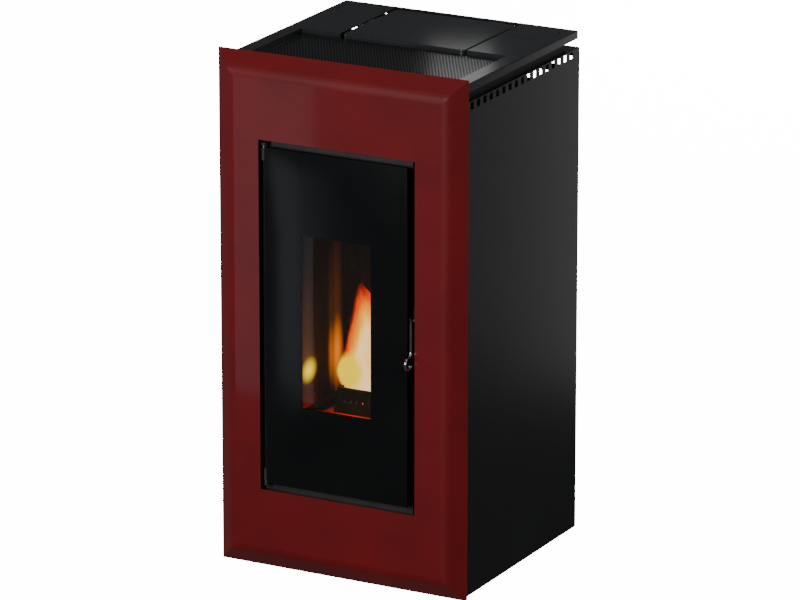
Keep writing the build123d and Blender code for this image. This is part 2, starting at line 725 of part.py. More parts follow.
def ring_about_mouth(margin, y0, y1):
    """Rounded box around the firebox mouth, larger than it by a margin."""
    body = wide(OPENING_X + margin, y0, y1, OPENING_BOTTOM - margin, OPENING_TOP + margin)
    return fillet(body.edges().filter_by(Axis.Y), MOUTH_CORNER + margin)


def door_frame():
    """Cast frame: face behind the glass, rim, gasket channel and window opening."""
    body = wide(FRAME_X, GLASS_BACK, FRAME_BACK, FRAME_BOTTOM, FRAME_TOP)
    body = fillet(body.edges().filter_by(Axis.Y), FRAME_CORNER)
    low = FRAME_BOTTOM + FRAME_WALL
    high = FRAME_TOP - FRAME_WALL
    body -= wide(FRAME_X - FRAME_WALL, FRAME_FACE, FRAME_BACK + 1, low, high)
    groove = GASKET_RADIUS * 2 + CHANNEL_WALL
    channel = ring_about_mouth(groove + CHANNEL_WALL, FRAME_FACE, FRAME_BACK)
    channel -= ring_about_mouth(0, FRAME_FACE - 1, FRAME_BACK + 1)
    cut = ring_about_mouth(groove, FRAME_BACK - GASKET_RADIUS * 1.5, FRAME_BACK + 1)
    cut -= ring_about_mouth(CHANNEL_WALL, FRAME_FACE, FRAME_BACK + 1)
    body += channel - cut
    low = WINDOW_BOTTOM - WINDOW_MARGIN
    high = WINDOW_BOTTOM + WINDOW_HEIGHT + WINDOW_MARGIN
    body -= wide(WINDOW_WIDTH / 2 + WINDOW_MARGIN, GLASS_BACK - 1, FRAME_BACK + 1, low, high)
    for z in knuckle_places():
        body += hinge_knuckle(z)
    body += lever_ear()
    body -= rod_x(LEVER_PIN, FRAME_X - 8, LEVER_X, LEVER_PIVOT_Y, LEVER_PIVOT_Z)
    keep("door_frame", body)


def knuckle_places():
    return [HINGE_TOP - KNUCKLE_INSET - KNUCKLE_HEIGHT, HINGE_BOTTOM + KNUCKLE_INSET]


def hinge_knuckle(z):
    """Round eye on a tab at the frame's left edge."""
    eye = rod_z(HINGE_KNUCKLE, z, z + KNUCKLE_HEIGHT, HINGE_X, HINGE_Y)
    top = z + KNUCKLE_HEIGHT
    tab = block(HINGE_X, -FRAME_X + 2, GLASS_BACK + 0.5, HINGE_Y + HINGE_KNUCKLE, z, top)
    return eye + tab - rod_z(HINGE_PIN + RUNNING_FIT, z - 1, top + 1, HINGE_X, HINGE_Y)


def lever_ear():
    """Thick spot of the frame's right wall that the lever's pin is set in."""
    low = LEVER_PIVOT_Z - 9
    high = LEVER_PIVOT_Z + 9
    return block(FRAME_X - 8, FRAME_X + 4, LEVER_PIVOT_Y - 6, FRAME_BACK, low, high)


def inner_pane():
    margin = PANE_OVERLAP
    low = WINDOW_BOTTOM - margin
    high = WINDOW_BOTTOM + WINDOW_HEIGHT + margin
    half = WINDOW_WIDTH / 2 + margin
    keep("inner_pane", wide(half, FRAME_FACE, FRAME_FACE + PANE_THICK, low, high))


def pane_clips():
    """Four bent strips that press the pane's corners against the frame."""
    clips = []
    edge = WINDOW_WIDTH / 2 + PANE_OVERLAP
    y = FRAME_FACE + PANE_THICK
    for sx in (-1, 1):
        for z in (WINDOW_BOTTOM + CLIP_RISE, WINDOW_BOTTOM + WINDOW_HEIGHT - CLIP_RISE):
            low = z - CLIP_HEIGHT / 2
            high = z + CLIP_HEIGHT / 2
            foot = block(edge + 1, edge + 13, FRAME_FACE, y + SHEET, low, high)
            finger = block(edge - 3.5, edge + 13, y, y + SHEET, low, high)
            clip = foot + finger
            clips.append(clip if sx > 0 else mirrored(clip))
    keep("pane_clips", *clips)


def door_gasket():
    """Rope in the frame's channel, a rounded ring that meets the mouth plate."""
    margin = GASKET_RADIUS + CHANNEL_WALL
    y = MOUTH_FRONT - FIT - GASKET_RADIUS
    width = 2 * (OPENING_X + margin)
    height = OPENING_TOP - OPENING_BOTTOM + 2 * margin
    middle = (OPENING_TOP + OPENING_BOTTOM) / 2
    plane = Plane((0, y, middle), x_dir=(1, 0, 0), z_dir=(0, -1, 0))
    path = plane * RectangleRounded(width, height, MOUTH_CORNER + margin).wire()
    start = path.position_at(0)
    section = Plane(start, z_dir=path.tangent_at(0)) * Circle(GASKET_RADIUS - 0.1)
    keep("door_gasket", sweep(section, path=path))


def hinge_brackets():
    """Arms from the mouth plate that carry the door's pins above and below it."""
    arms = []
    for z0 in (HINGE_TOP, HINGE_BOTTOM - BRACKET_THICK):
        left = HINGE_X - HINGE_KNUCKLE
        arm = block(left, HINGE_X + 5, HINGE_Y, MOUTH_FRONT, z0, z0 + BRACKET_THICK)
        arm += rod_z(HINGE_KNUCKLE, z0, z0 + BRACKET_THICK, HINGE_X, HINGE_Y)
        arms.append(arm - rod_z(HINGE_PIN, z0 - 1, z0 + BRACKET_THICK + 1, HINGE_X, HINGE_Y))
    keep("hinge_brackets", *arms)


def hinge_pins():
    top, bottom = knuckle_places()
    upper = rod_z(HINGE_PIN, top, HINGE_TOP + BRACKET_THICK, HINGE_X, HINGE_Y)
    foot = HINGE_BOTTOM - BRACKET_THICK
    lower = rod_z(HINGE_PIN, foot, bottom + KNUCKLE_HEIGHT, HINGE_X, HINGE_Y)
    keep("hinge_pins", upper, lower)


# ---------------------------------------------------------------- lever and latch
def lever_path():
    """Stem down beside the glass, then a curl that comes forward for the finger."""
    top = LEVER_PIVOT_Z
    turn = top - STEM_LENGTH
    plane = Plane((LEVER_X, 0, 0), x_dir=(0, 1, 0), z_dir=(1, 0, 0))
    stem = Line((STEM_Y, top), (STEM_Y, turn))
    first = CenterArc((STEM_Y - HOOK_BEND, turn), HOOK_BEND, 0, -90)
    curl = CenterArc((STEM_Y - HOOK_BEND, turn - 2 * HOOK_BEND), HOOK_BEND, 90, HOOK_TURN)
    return plane * Wire([stem.edge(), first.edge(), curl.edge()])


def door_lever():
    path = lever_path()
    section = Plane(path.position_at(0), z_dir=path.tangent_at(0)) * Circle(HOOK_WIRE)
    hook = sweep(section, path=path)
    tip = Pos(*path.position_at(1)) * Sphere(HOOK_WIRE + 0.9)
    x0 = LEVER_X - LEVER_THICK / 2
    x1 = LEVER_X + LEVER_THICK / 2
    y_nose = ROLLER_Y + CLAW_REACH - 7
    low = CLAW_TOP - CLAW_NOSE - CLAW_HEIGHT
    arm = side_plate([
        (LEVER_PIVOT_Y, CLAW_TOP - CLAW_NOSE),
        (ROLLER_Y - 5, CLAW_TOP - CLAW_NOSE),
        (ROLLER_Y - 1, CLAW_TOP),
        (y_nose, CLAW_TOP),
        (y_nose, low + 2),
        (y_nose - 2, low),
        (LEVER_PIVOT_Y, low),
    ], x0, x1)
    cheek = side_plate([
        (STEM_Y, LEVER_PIVOT_Z + 3),
        (LEVER_PIVOT_Y, LEVER_PIVOT_Z + LEVER_EYE),
        (LEVER_PIVOT_Y, LEVER_PIVOT_Z - LEVER_EYE),
        (STEM_Y, LEVER_PIVOT_Z - 16),
    ], x0, x1)
    eye = rod_x(LEVER_EYE, x0, x1, LEVER_PIVOT_Y, LEVER_PIVOT_Z)
    bore = rod_x(LEVER_PIN + RUNNING_FIT, x0 - 1, x1 + 1, LEVER_PIVOT_Y, LEVER_PIVOT_Z)
    keep("door_lever", hook + tip + arm + cheek + eye - bore)


def lever_pin():
    outer = LEVER_X + LEVER_THICK / 2 + FIT
    head = rod_x(LEVER_PIN + 2, outer, outer + 2, LEVER_PIVOT_Y, LEVER_PIVOT_Z)
    shank = rod_x(LEVER_PIN, FRAME_X - 8, outer, LEVER_PIVOT_Y, LEVER_PIVOT_Z)
    keep("lever_pin", shank + head)


def latch_keeper():
    """Angle on the mouth plate's rear face, its cheek carrying a headed roller."""
    left = LEVER_X - CLAW_GAP
    right = LEVER_X + CLAW_GAP
    low = ROLLER_Z - KEEPER_HEIGHT / 2
    high = ROLLER_Z + KEEPER_HEIGHT / 2
    foot = block(left - KEEPER_FOOT, left, MOUTH_BACK, MOUTH_BACK + KEEPER_CHEEK, low, high)
    cheek = block(left - KEEPER_CHEEK, left, MOUTH_BACK, ROLLER_Y + 2 * KEEPER_ROLLER, low, high)
    roller = rod_x(KEEPER_ROLLER, left, right, ROLLER_Y, ROLLER_Z)
    head = rod_x(KEEPER_ROLLER + 1, right, right + KEEPER_CHEEK, ROLLER_Y, ROLLER_Z)
    keep("latch_keeper", foot + cheek + roller + head)


# ---------------------------------------------------------------- firebox
def mouth_plate():
    plate = block(-MOUTH_X, MOUTH_EDGE, MOUTH_FRONT, MOUTH_BACK, MOUTH_BOTTOM, MOUTH_TOP)
    plate -= ring_about_mouth(0, MOUTH_FRONT - 1, MOUTH_BACK + 1)
    keep("mouth_plate", plate)


def firebox_shell():
    """Welded box, open at the front, with a ledge for the carrier and its ports."""
    shell = wide(FIREBOX_OUT, FIREBOX_FRONT, FIREBOX_REAR, FIREBOX_BOTTOM, FIREBOX_TOP)
    shell -= wide(FIREBOX_X, FIREBOX_FRONT - 1, FIREBOX_BACK, FIREBOX_FLOOR, FIREBOX_CEILING)
    for sx in (-1, 1):
        a, b = sorted((sx * FIREBOX_X, sx * (FIREBOX_X - CARRIER_LEDGE)))
        shell += block(a, b, FIREBOX_FRONT, FIREBOX_BACK, CARRIER_BOTTOM - 4, CARRIER_BOTTOM)
    port = FIREBOX_FRONT + SMOKE_PORT_FRONT
    rear = port + SMOKE_PORT_DEPTH
    shell -= wide(FIREBOX_X - 20, port, rear, FIREBOX_CEILING - 1, FIREBOX_TOP + 1)
    shell -= chute_rod(CHUTE_RADIUS, CHUTE_REACH, -CHUTE_REACH)
    shell -= rod_y(INTAKE_RADIUS, FIREBOX_BACK - 1, FIREBOX_REAR + 1, INTAKE_X, INTAKE_Z)
    shell -= rod_y(IGNITER_RADIUS + 2, FIREBOX_BACK - 1, FIREBOX_REAR + 1, 0, IGNITER_Z)
    keep("firebox_shell", shell)


def lining_bands(y0, y1):
    """Where the grooves of a lining lie, between two raised bands each."""
    starts = []
    y = GROOVE_START
    while y < y1:
        starts.append((max(y, y0), min(y + LINING_BAND, y1)))
        y += 2 * LINING_BAND
    return [pair for pair in starts if pair[1] - pair[0] > 2]


def side_lining():
    """Slab with wide upright grooves, as cast."""
    y0 = MOUTH_BACK + 3
    top = CARRIER_Z + LINING_HEIGHT
    slab = block(LINING_X, FIREBOX_X - FIT, y0, LINING_Y, CARRIER_Z, top)
    for a, b in lining_bands(y0, LINING_Y):
        groove = block(LINING_X - 1, LINING_X + LINING_GROOVE, a, b, CARRIER_Z - 1, top + 1)
        slab -= groove
    return slab


def back_lining():
    top = CARRIER_Z + LINING_HEIGHT
    slab = wide(FIREBOX_X - FIT, LINING_Y, FIREBOX_BACK - FIT, CARRIER_Z, top)
    for sx in (-1, 1):
        groove = Box(LINING_BAND / 2, LINING_GROOVE, LINING_HEIGHT + 2)
        slab -= Pos(sx * LINING_BAND, LINING_Y, (CARRIER_Z + top) / 2) * groove
    slab -= chute_rod(CHUTE_RADIUS + 2, CHUTE_REACH, -1.5 * CHUTE_REACH)
    slab -= rod_y(IGNITER_RADIUS + 2, LINING_Y - 1, FIREBOX_BACK, 0, IGNITER_Z)
    keep("lining_back", slab)


def linings():
    side = side_lining()
    keep("lining_right", side)
    keep("lining_left", mirrored(side))
    back_lining()


def burn_pot_carrier():
    plate = wide(FIREBOX_X - FIT, FIREBOX_FRONT + FIT, FIREBOX_BACK - FIT, CARRIER_BOTTOM, CARRIER_Z)
    half = POT_CUP_WIDTH / 2 + 1
    plate -= wide(half, POT_Y - half, POT_Y + half, CARRIER_BOTTOM - 1, CARRIER_Z + 1)
    for sx in (-1, 1):
        slot = Box(CARRIER_SLOT_WIDTH, CARRIER_SLOT_DEPTH, 4 * CARRIER_THICK)
        plate -= Pos(sx * CARRIER_SLOT_X, POT_Y, CARRIER_Z) * slot
    keep("burn_pot_carrier", plate)


def tapered_box(low, high, z0, z1):
    """Square frustum about the pot's axis, low and high being its widths."""
    bottom = Pos(0, POT_Y, z0) * Rectangle(low, low)
    top = Pos(0, POT_Y, z1) * Rectangle(high, high)
    return loft([bottom, top], ruled=True)


def burn_pot():
    """Cast pot: crown that narrows upward, cup with a drilled grate below the carrier."""
    z1 = CARRIER_Z + POT_CROWN
    flare = POT_WIDTH + 2 * POT_FLARE
    crown = tapered_box(flare, POT_WIDTH, CARRIER_Z, z1)
    floor = CARRIER_Z + POT_WALL
    crown -= tapered_box(flare - 2 * POT_WALL, POT_WIDTH - 2 * POT_WALL, floor, z1 + 0.01)
    cup_z = CARRIER_Z - POT_CUP_DEPTH
    cup = tapered_box(POT_CUP_WIDTH - 6, POT_CUP_WIDTH, cup_z, CARRIER_Z)
    pot = crown + cup
    inner = POT_CUP_WIDTH - 2 * POT_WALL
    pot -= tapered_box(inner - 6, inner, cup_z + POT_WALL, floor + 0.01)
    for i in range(4):
        for j in range(4):
            x = (i - 1.5) * POT_GRATE_PITCH
            y = POT_Y + (j - 1.5) * POT_GRATE_PITCH
            pot -= rod_z(POT_GRATE_HOLE, cup_z - 1, cup_z + POT_WALL + 1, x, y)
    for i in range(5):
        x = (i - 2) * POT_AIR_PITCH
        pot -= rod_y(POT_AIR_HOLE, POT_Y - POT_WIDTH, POT_Y + 20, x, CARRIER_Z + POT_CROWN / 2)
    pot -= rod_y(IGNITER_RADIUS + 1, POT_Y + 20, POT_Y + POT_WIDTH, 0, IGNITER_Z)
    keep("burn_pot", pot)


def ash_pan():
    z0 = FIREBOX_FLOOR + FIT
    half = PAN_WIDTH / 2
    pan = wide(half, PAN_FRONT, PAN_FRONT + PAN_DEPTH, z0, z0 + PAN_HEIGHT)
    rear = PAN_FRONT + PAN_DEPTH - SHEET
    pan -= wide(half - SHEET, PAN_FRONT + SHEET, rear, z0 + SHEET, z0 + PAN_HEIGHT + 1)
    tab = z0 + PAN_TAB_Z
    pan += wide(PAN_TAB / 2, PAN_FRONT - PAN_TAB_REACH, PAN_FRONT, tab, tab + 2)
    keep("ash_pan", pan)


def smoke_box():
    y0 = FIREBOX_FRONT + SMOKE_BOX_FRONT
    wall = SMOKE_SHEET
    box = wide(FIREBOX_OUT, y0, FIREBOX_REAR, FIREBOX_TOP, SMOKE_TOP)
    box -= wide(FIREBOX_OUT - wall, y0 + wall, FIREBOX_REAR - wall, FIREBOX_TOP - 1, SMOKE_TOP - wall)
    for x, z in tube_places():
        box -= rod_y(TUBE_RADIUS, y0 - 1, FIREBOX_REAR + 1, x, z)
    front = DUCT_FRONT + SHEET
    back = DUCT_FRONT + DUCT_DEPTH - SHEET
    low = SMOKE_TOP - DUCT_MOUTH + SHEET
    box -= block(FIREBOX_OUT - wall - 1, FIREBOX_OUT + 1, front, back, low, SMOKE_TOP - SHEET - wall)
    keep("smoke_box", box)


def tube_places():
    places = []
    for row in range(TUBE_ROWS):
        for i in range(TUBE_COLUMNS):
            x = (i - (TUBE_COLUMNS - 1) / 2) * TUBE_PITCH
            places.append((x, FIREBOX_TOP + TUBE_RISE + row * TUBE_PITCH))
    return places


def exchanger_tubes():
    y0 = FIREBOX_FRONT + TUBE_FRONT
    y1 = FIREBOX_REAR + TUBE_END
    tubes = []
    for x, z in tube_places():
        bore = rod_y(TUBE_RADIUS - TUBE_WALL, y0 - 1, y1 + 1, x, z)
        tubes.append(rod_y(TUBE_RADIUS, y0, y1, x, z) - bore)
    keep("exchanger_tubes", *tubes)


def air_plenum():
    """Channel up the back of the firebox from the room fan to the tubes."""
    half = FIREBOX_OUT
    duct = wide(half, PLENUM_FRONT, PLENUM_BACK, PLENUM_BOTTOM, PLENUM_TOP)
    back = PLENUM_BACK - SHEET
    duct -= wide(half - SHEET, PLENUM_FRONT - 1, back, PLENUM_BOTTOM - 1, PLENUM_TOP - SHEET)
    duct -= chute_rod(CHUTE_RADIUS, CHUTE_REACH, -CHUTE_REACH)
    duct -= rod_y(INTAKE_RADIUS, PLENUM_FRONT, PLENUM_BACK + 1, INTAKE_X, INTAKE_Z)
    duct -= rod_y(IGNITER_RADIUS, PLENUM_FRONT, PLENUM_BACK + 1, 0, IGNITER_Z)
    keep("air_plenum", duct)


def smoke_duct():
    """Flat duct down the right of the firebox and back to the smoke fan's eye."""
    x0 = FAN_X + FAN_WIDTH / 2
    x1 = x0 + SMOKE_DUCT_WIDTH
    top = SMOKE_TOP
    rear = FAN_Y + 45

    def outline(inset):
        low = FAN_Z - 45 + inset
        shoulder = FAN_Z + 45 - inset
        front = DUCT_FRONT + inset
        back = DUCT_FRONT + DUCT_DEPTH - inset
        return [(front, low), (rear - inset, low), (rear - inset, shoulder), (back, shoulder),
                (back, top - inset), (front, top - inset)]

    duct = side_plate(outline(0), x0, x1)
    front, back = DUCT_FRONT, DUCT_FRONT + DUCT_DEPTH
    mouth = top - DUCT_MOUTH
    duct += block(FIREBOX_OUT, x0, front, back, mouth, top)
    duct -= side_plate(outline(SHEET), x0 + SHEET, x1 - SHEET)
    inner = block(FIREBOX_OUT - 1, x0 + SHEET + 1, front + SHEET, back - SHEET, mouth + SHEET, top - SHEET)
    duct -= inner
    duct -= rod_x(FAN_EYE, x0 - 1, x0 + SHEET + 1, FAN_Y, FAN_Z)
    keep("smoke_duct", duct)


# ---------------------------------------------------------------- feed
def auger_axis():
    """Plane at the auger's foot, its Z along the screw."""
    tilt = radians(AUGER_TILT)
    return Plane((0, AUGER_FOOT_Y, AUGER_FOOT_Z), x_dir=(1, 0, 0), z_dir=(0, -cos(tilt), sin(tilt)))


def along_auger(radius, start, end):
    return auger_axis() * Pos(0, 0, (start + end) / 2) * Cylinder(radius, end - start)


def chute_rod(radius, ahead, behind):
    """Cylinder on the chute's axis, which crosses the firebox's rear face."""
    tilt = radians(CHUTE_TILT)
    plane = Plane((0, FIREBOX_REAR, CHUTE_END_Z), x_dir=(1, 0, 0), z_dir=(0, cos(tilt), sin(tilt)))
    return plane * Pos(0, 0, (ahead + behind) / 2) * Cylinder(radius, ahead - behind)


def chute_length():
    """From the firebox's rear face up to the auger tube's axis."""
    tilt = radians(CHUTE_TILT)
    lean = radians(AUGER_TILT)
    run = AUGER_FOOT_Y - FIREBOX_REAR
    rise = AUGER_FOOT_Z - CHUTE_END_Z
    return (run * sin(lean) + rise * cos(lean)) / (cos(tilt) * sin(lean) + sin(tilt) * cos(lean))


def hopper_form(inset):
    """Straight upper box running down through sloped sides to a neck."""
    half = HOPPER_WIDTH / 2 - inset
    y0 = HOPPER_FRONT + inset
    y1 = HOPPER_REAR - inset
    middle = (y0 + y1) / 2
    neck = HOPPER_NECK_WIDTH - 2 * inset
    neck_y = (HOPPER_NECK_FRONT + HOPPER_NECK_REAR) / 2
    neck_depth = HOPPER_NECK_REAR - HOPPER_NECK_FRONT - 2 * inset
    top = wide(half, y0, y1, HOPPER_SHOULDER, hopper_top() + inset)
    shoulder = Pos(0, middle, HOPPER_SHOULDER) * Rectangle(2 * half, y1 - y0)
    throat = Pos(0, neck_y, HOPPER_NECK_Z) * Rectangle(neck, neck_depth)
    slope = loft([throat, shoulder], ruled=True)
    foot = Pos(0, neck_y, HOPPER_NECK_Z - HOPPER_FOOT / 2) * Box(neck, neck_depth, HOPPER_FOOT)
    return top + slope + foot


def hopper():
    shell = hopper_form(0) - hopper_form(SHEET)
    shell -= along_auger(AUGER_CASE, -40, AUGER_LENGTH)
    under = Box(HOPPER_WIDTH, AUGER_CASE * 4, AUGER_LENGTH * 2)
    under = Pos(0, -AUGER_CASE * 2, AUGER_LENGTH / 2) * under
    shell -= auger_axis() * under
    ledge = HOPPER_SHOULDER + GUARD_RISE
    wall = HOPPER_WIDTH / 2 - SHEET
    for sx in (-1, 1):
        a, b = sorted((sx * wall, sx * (wall - 8)))
        shell += block(a, b, HOPPER_FRONT + SHEET, HOPPER_REAR - SHEET, ledge - GUARD_SHEET, ledge)
    keep("hopper", shell)


def hopper_guard():
    """Grid that keeps fingers out of the auger, on ledges inside the hopper."""
    z = HOPPER_SHOULDER + GUARD_RISE
    inset = SHEET + FIT
    half = HOPPER_WIDTH / 2 - inset
    grid = wide(half, HOPPER_FRONT + inset, HOPPER_REAR - inset, z, z + GUARD_SHEET)
    depth = HOPPER_REAR - HOPPER_FRONT - 2 * inset
    pitch_x = (2 * half - 2 * GUARD_BAR) / GUARD_CELLS
    pitch_y = (depth - 2 * GUARD_BAR) / GUARD_CELLS
    middle = (HOPPER_FRONT + HOPPER_REAR) / 2
    cell = Box(pitch_x - GUARD_BAR, pitch_y - GUARD_BAR, 4 * GUARD_SHEET)
    for i in range(GUARD_CELLS):
        for j in range(GUARD_CELLS):
            x = (i - (GUARD_CELLS - 1) / 2) * pitch_x
            y = middle + (j - (GUARD_CELLS - 1) / 2) * pitch_y
            grid -= Pos(x, y, z) * cell
    keep("hopper_guard", grid)


def auger_tube():
    tube = along_auger(AUGER_CASE, 0, AUGER_LENGTH)
    tube -= along_auger(AUGER_CASE - AUGER_WALL, -1, AUGER_LENGTH - 2)
    neck_y = (HOPPER_NECK_FRONT + HOPPER_NECK_REAR) / 2
    depth = HOPPER_NECK_REAR - HOPPER_NECK_FRONT - 2 * SHEET
    neck = Box(HOPPER_NECK_WIDTH - 2 * SHEET - 8, depth, AUGER_LENGTH)
    neck = Pos(0, neck_y, HOPPER_NECK_Z) * neck
    tube -= neck - along_auger(AUGER_CASE * 2, -60, 2)
    tube -= chute_rod(CHUTE_RADIUS - SHEET, chute_length(), 0)
    keep("auger_tube", tube)


def auger_bush():
    bush = along_auger(AUGER_CASE - AUGER_WALL, 0, BUSH_LENGTH)
    keep("auger_bush", bush - along_auger(AUGER_SHAFT + RUNNING_FIT, -1, BUSH_LENGTH + 1))


def auger_screw():
    """Shaft with one continuous flight."""
    start = BUSH_LENGTH + 3
    height = AUGER_LENGTH - start - 10
    mean = (AUGER_RADIUS + AUGER_SHAFT) / 2 - 0.5
    path = Helix(AUGER_PITCH, height, mean)
    blade = Rectangle(AUGER_RADIUS - AUGER_SHAFT + 1, AUGER_BLADE)
    section = Plane(path.position_at(0), x_dir=(1, 0, 0), z_dir=path.tangent_at(0)) * blade
    flight = sweep(section, path=path, is_frenet=True)
    screw = auger_axis() * Pos(0, 0, start) * flight
    screw += along_auger(AUGER_SHAFT, -12, AUGER_LENGTH - 4)
    keep("auger_screw", screw)


def auger_gearmotor():
    """Gearbox on the auger's foot with its motor behind."""
    lean = auger_axis()
    box = Box(GEARBOX_WIDTH, GEARBOX_DEPTH, GEARBOX_HEIGHT)
    box = lean * Pos(0, 0, -GEARBOX_HEIGHT / 2) * fillet(box.edges().filter_by(Axis.Z), 6)
    below = GEARBOX_HEIGHT + AUGER_MOTOR_LENGTH / 2
    motor = lean * Pos(0, 0, -below) * Cylinder(AUGER_MOTOR_RADIUS, AUGER_MOTOR_LENGTH)
    socket = along_auger(AUGER_SHAFT + RUNNING_FIT, -13, 1)
    keep("auger_gearmotor", box + motor - socket)


def pellet_chute():
    """Round chute from the auger tube's top down into the firebox."""
    reach = chute_length()
    chute = chute_rod(CHUTE_RADIUS, reach, -CHUTE_RADIUS)
    chute -= chute_rod(CHUTE_RADIUS - SHEET, reach + 10, -CHUTE_REACH)
    chute -= along_auger(AUGER_CASE, -40, AUGER_LENGTH + 60)
    chute -= wide(60, 0, LINING_Y + 2, 0, COVER_TOP)
    keep("pellet_chute", chute)


# ---------------------------------------------------------------- fans
def convection_housing():
    """Half-round casing about the drum that throws air up into the plenum."""
    x0 = ROTOR_X - ROTOR_LENGTH / 2 - ROTOR_CASE
    x1 = ROTOR_X + ROTOR_LENGTH / 2 + ROTOR_CASE
    gap = ROTOR_RADIUS + ROTOR_GAP

    def form(inset):
        radius = gap + ROTOR_CASE - inset
        left, right = x0 + inset, x1 - inset
        front = PLENUM_FRONT + inset
        case = rod_x(radius, left, right, ROTOR_Y, ROTOR_Z)
        case += block(left, right, front, ROTOR_Y, ROTOR_Z - radius, ROTOR_Z + radius)
        return case + block(left, right, front, PLENUM_BACK - inset, ROTOR_Z, PLENUM_BOTTOM + 2 * inset)

    case = form(0) - form(SHEET)
    case -= block(x0 + 14, x1 - 14, ROTOR_Y + ROTOR_GAP, ROTOR_Y + gap + 20, ROTOR_Z - 24, ROTOR_Z + gap)
    for x in (x0, x1):
        case -= rod_x(ROTOR_SHAFT + RUNNING_FIT, x - 3, x + 3, ROTOR_Y, ROTOR_Z)
    keep("convection_housing", case)


def convection_rotor():
    """Tangential drum: upright curved blades between end discs."""
    x0 = ROTOR_X - ROTOR_LENGTH / 2
    x1 = ROTOR_X + ROTOR_LENGTH / 2
    drum = rod_x(ROTOR_SHAFT, x0 - 22, x1 + 10, ROTOR_Y, ROTOR_Z)
    for x in (x0, ROTOR_X - ROTOR_DISC / 2, x1 - ROTOR_DISC):
        drum += rod_x(ROTOR_RADIUS, x, x + ROTOR_DISC, ROTOR_Y, ROTOR_Z)
    blade = block(x0 + 1, x1 - 1, ROTOR_RADIUS - 9, ROTOR_RADIUS - 1, -0.6, 0.6)
    for i in range(ROTOR_BLADES):
        turn = 360 * i / ROTOR_BLADES
        place = Pos(0, ROTOR_Y, ROTOR_Z) * Rot(turn, 0, 0) * Pos(0, ROTOR_RADIUS - 5, 0)
        drum += place * Rot(28, 0, 0) * Pos(0, 5 - ROTOR_RADIUS, 0) * blade
    keep("convection_rotor", drum)


def convection_motor():
    x1 = ROTOR_X - ROTOR_LENGTH / 2 - ROTOR_CASE
    body = rod_x(ROOM_MOTOR_RADIUS, x1 - ROOM_MOTOR_LENGTH, x1, ROTOR_Y, ROTOR_Z)
    body = fillet(body.edges().group_by(Axis.X)[0], 5)
    keep("convection_motor", body - rod_x(ROTOR_SHAFT + RUNNING_FIT, x1 - 20, x1 + 1, ROTOR_Y, ROTOR_Z))


def scroll_points(inset):
    """Spiral wall of the smoke fan, ending in the low outlet to the rear."""
    points = []
    for i in range(13):
        turn = radians(-90 - 25 * i)
        radius = IMPELLER_RADIUS + FAN_SCROLL_GROWTH - 2 * i - inset
        points.append((FAN_Y + radius * cos(turn), FAN_Z + radius * sin(turn)))
    return points


def exhaust_outline(inset):
    spiral = scroll_points(inset)
    low = spiral[0][1]
    high = FLUE_Z + FAN_OUTLET_HEIGHT / 2 - inset
    rear = FAN_REAR
    return spiral + [(FAN_Y + IMPELLER_RADIUS + 6 - inset, high), (rear, high), (rear, low)]


def exhaust_housing():
    """Scroll with the eye on one face and a straight outlet low at the rear."""
    x0 = FAN_X - FAN_WIDTH / 2
    x1 = FAN_X + FAN_WIDTH / 2
    case = side_plate(exhaust_outline(0), x0, x1)
    inner = side_plate(exhaust_outline(FAN_WALL), x0 + FAN_WALL, x1 - FAN_WALL)
    case -= inner
    low = scroll_points(FAN_WALL)[0][1]
    high = FLUE_Z + FAN_OUTLET_HEIGHT / 2 - FAN_WALL
    case -= block(x0 + FAN_WALL, x1 - FAN_WALL, FAN_REAR - 5, FAN_REAR + 1, low, high)
    case -= rod_x(FAN_EYE, x1 - FAN_WALL - 1, x1 + 1, FAN_Y, FAN_Z)
    case -= rod_x(IMPELLER_SHAFT + RUNNING_FIT, x0 - 1, x0 + FAN_WALL + 1, FAN_Y, FAN_Z)
    keep("exhaust_housing", case)


def exhaust_impeller():
    x0 = FAN_X - FAN_WIDTH / 2 + FAN_WALL + 3
    wheel = rod_x(IMPELLER_RADIUS, x0, x0 + 2, FAN_Y, FAN_Z)
    wheel += rod_x(IMPELLER_HUB, x0, x0 + IMPELLER_HUB_LENGTH, FAN_Y, FAN_Z)
    wheel += rod_x(IMPELLER_SHAFT, x0 - IMPELLER_SHAFT_LENGTH, x0, FAN_Y, FAN_Z)
    blade = block(x0 + 1, x0 + IMPELLER_WIDTH, -1, 1, 0, IMPELLER_RADIUS - 20)
    for i in range(IMPELLER_BLADES):
        turn = 360 * i / IMPELLER_BLADES
        wheel += Pos(0, FAN_Y, FAN_Z) * Rot(turn, 0, 0) * Pos(0, 0, 19) * Rot(22, 0, 0) * blade
    reach = 2 * IMPELLER_WIDTH
    keep("exhaust_impeller", wheel & rod_x(IMPELLER_RADIUS, x0 - reach, x0 + reach, FAN_Y, FAN_Z))


def exhaust_motor():
    x1 = FAN_X - FAN_WIDTH / 2
    radius = EXHAUST_MOTOR_RADIUS
    body = rod_x(radius, x1 - EXHAUST_MOTOR_LENGTH, x1, FAN_Y, FAN_Z)
    for i in range(3):
        x = x1 - 12 - 9 * i
        groove = rod_x(radius + 1, x - 2, x + 2, FAN_Y, FAN_Z)
        body -= groove - rod_x(radius - 4, x - 3, x + 3, FAN_Y, FAN_Z)
    bore = rod_x(IMPELLER_SHAFT + RUNNING_FIT, x1 - 32, x1 + 1, FAN_Y, FAN_Z)
    keep("exhaust_motor", body - bore)


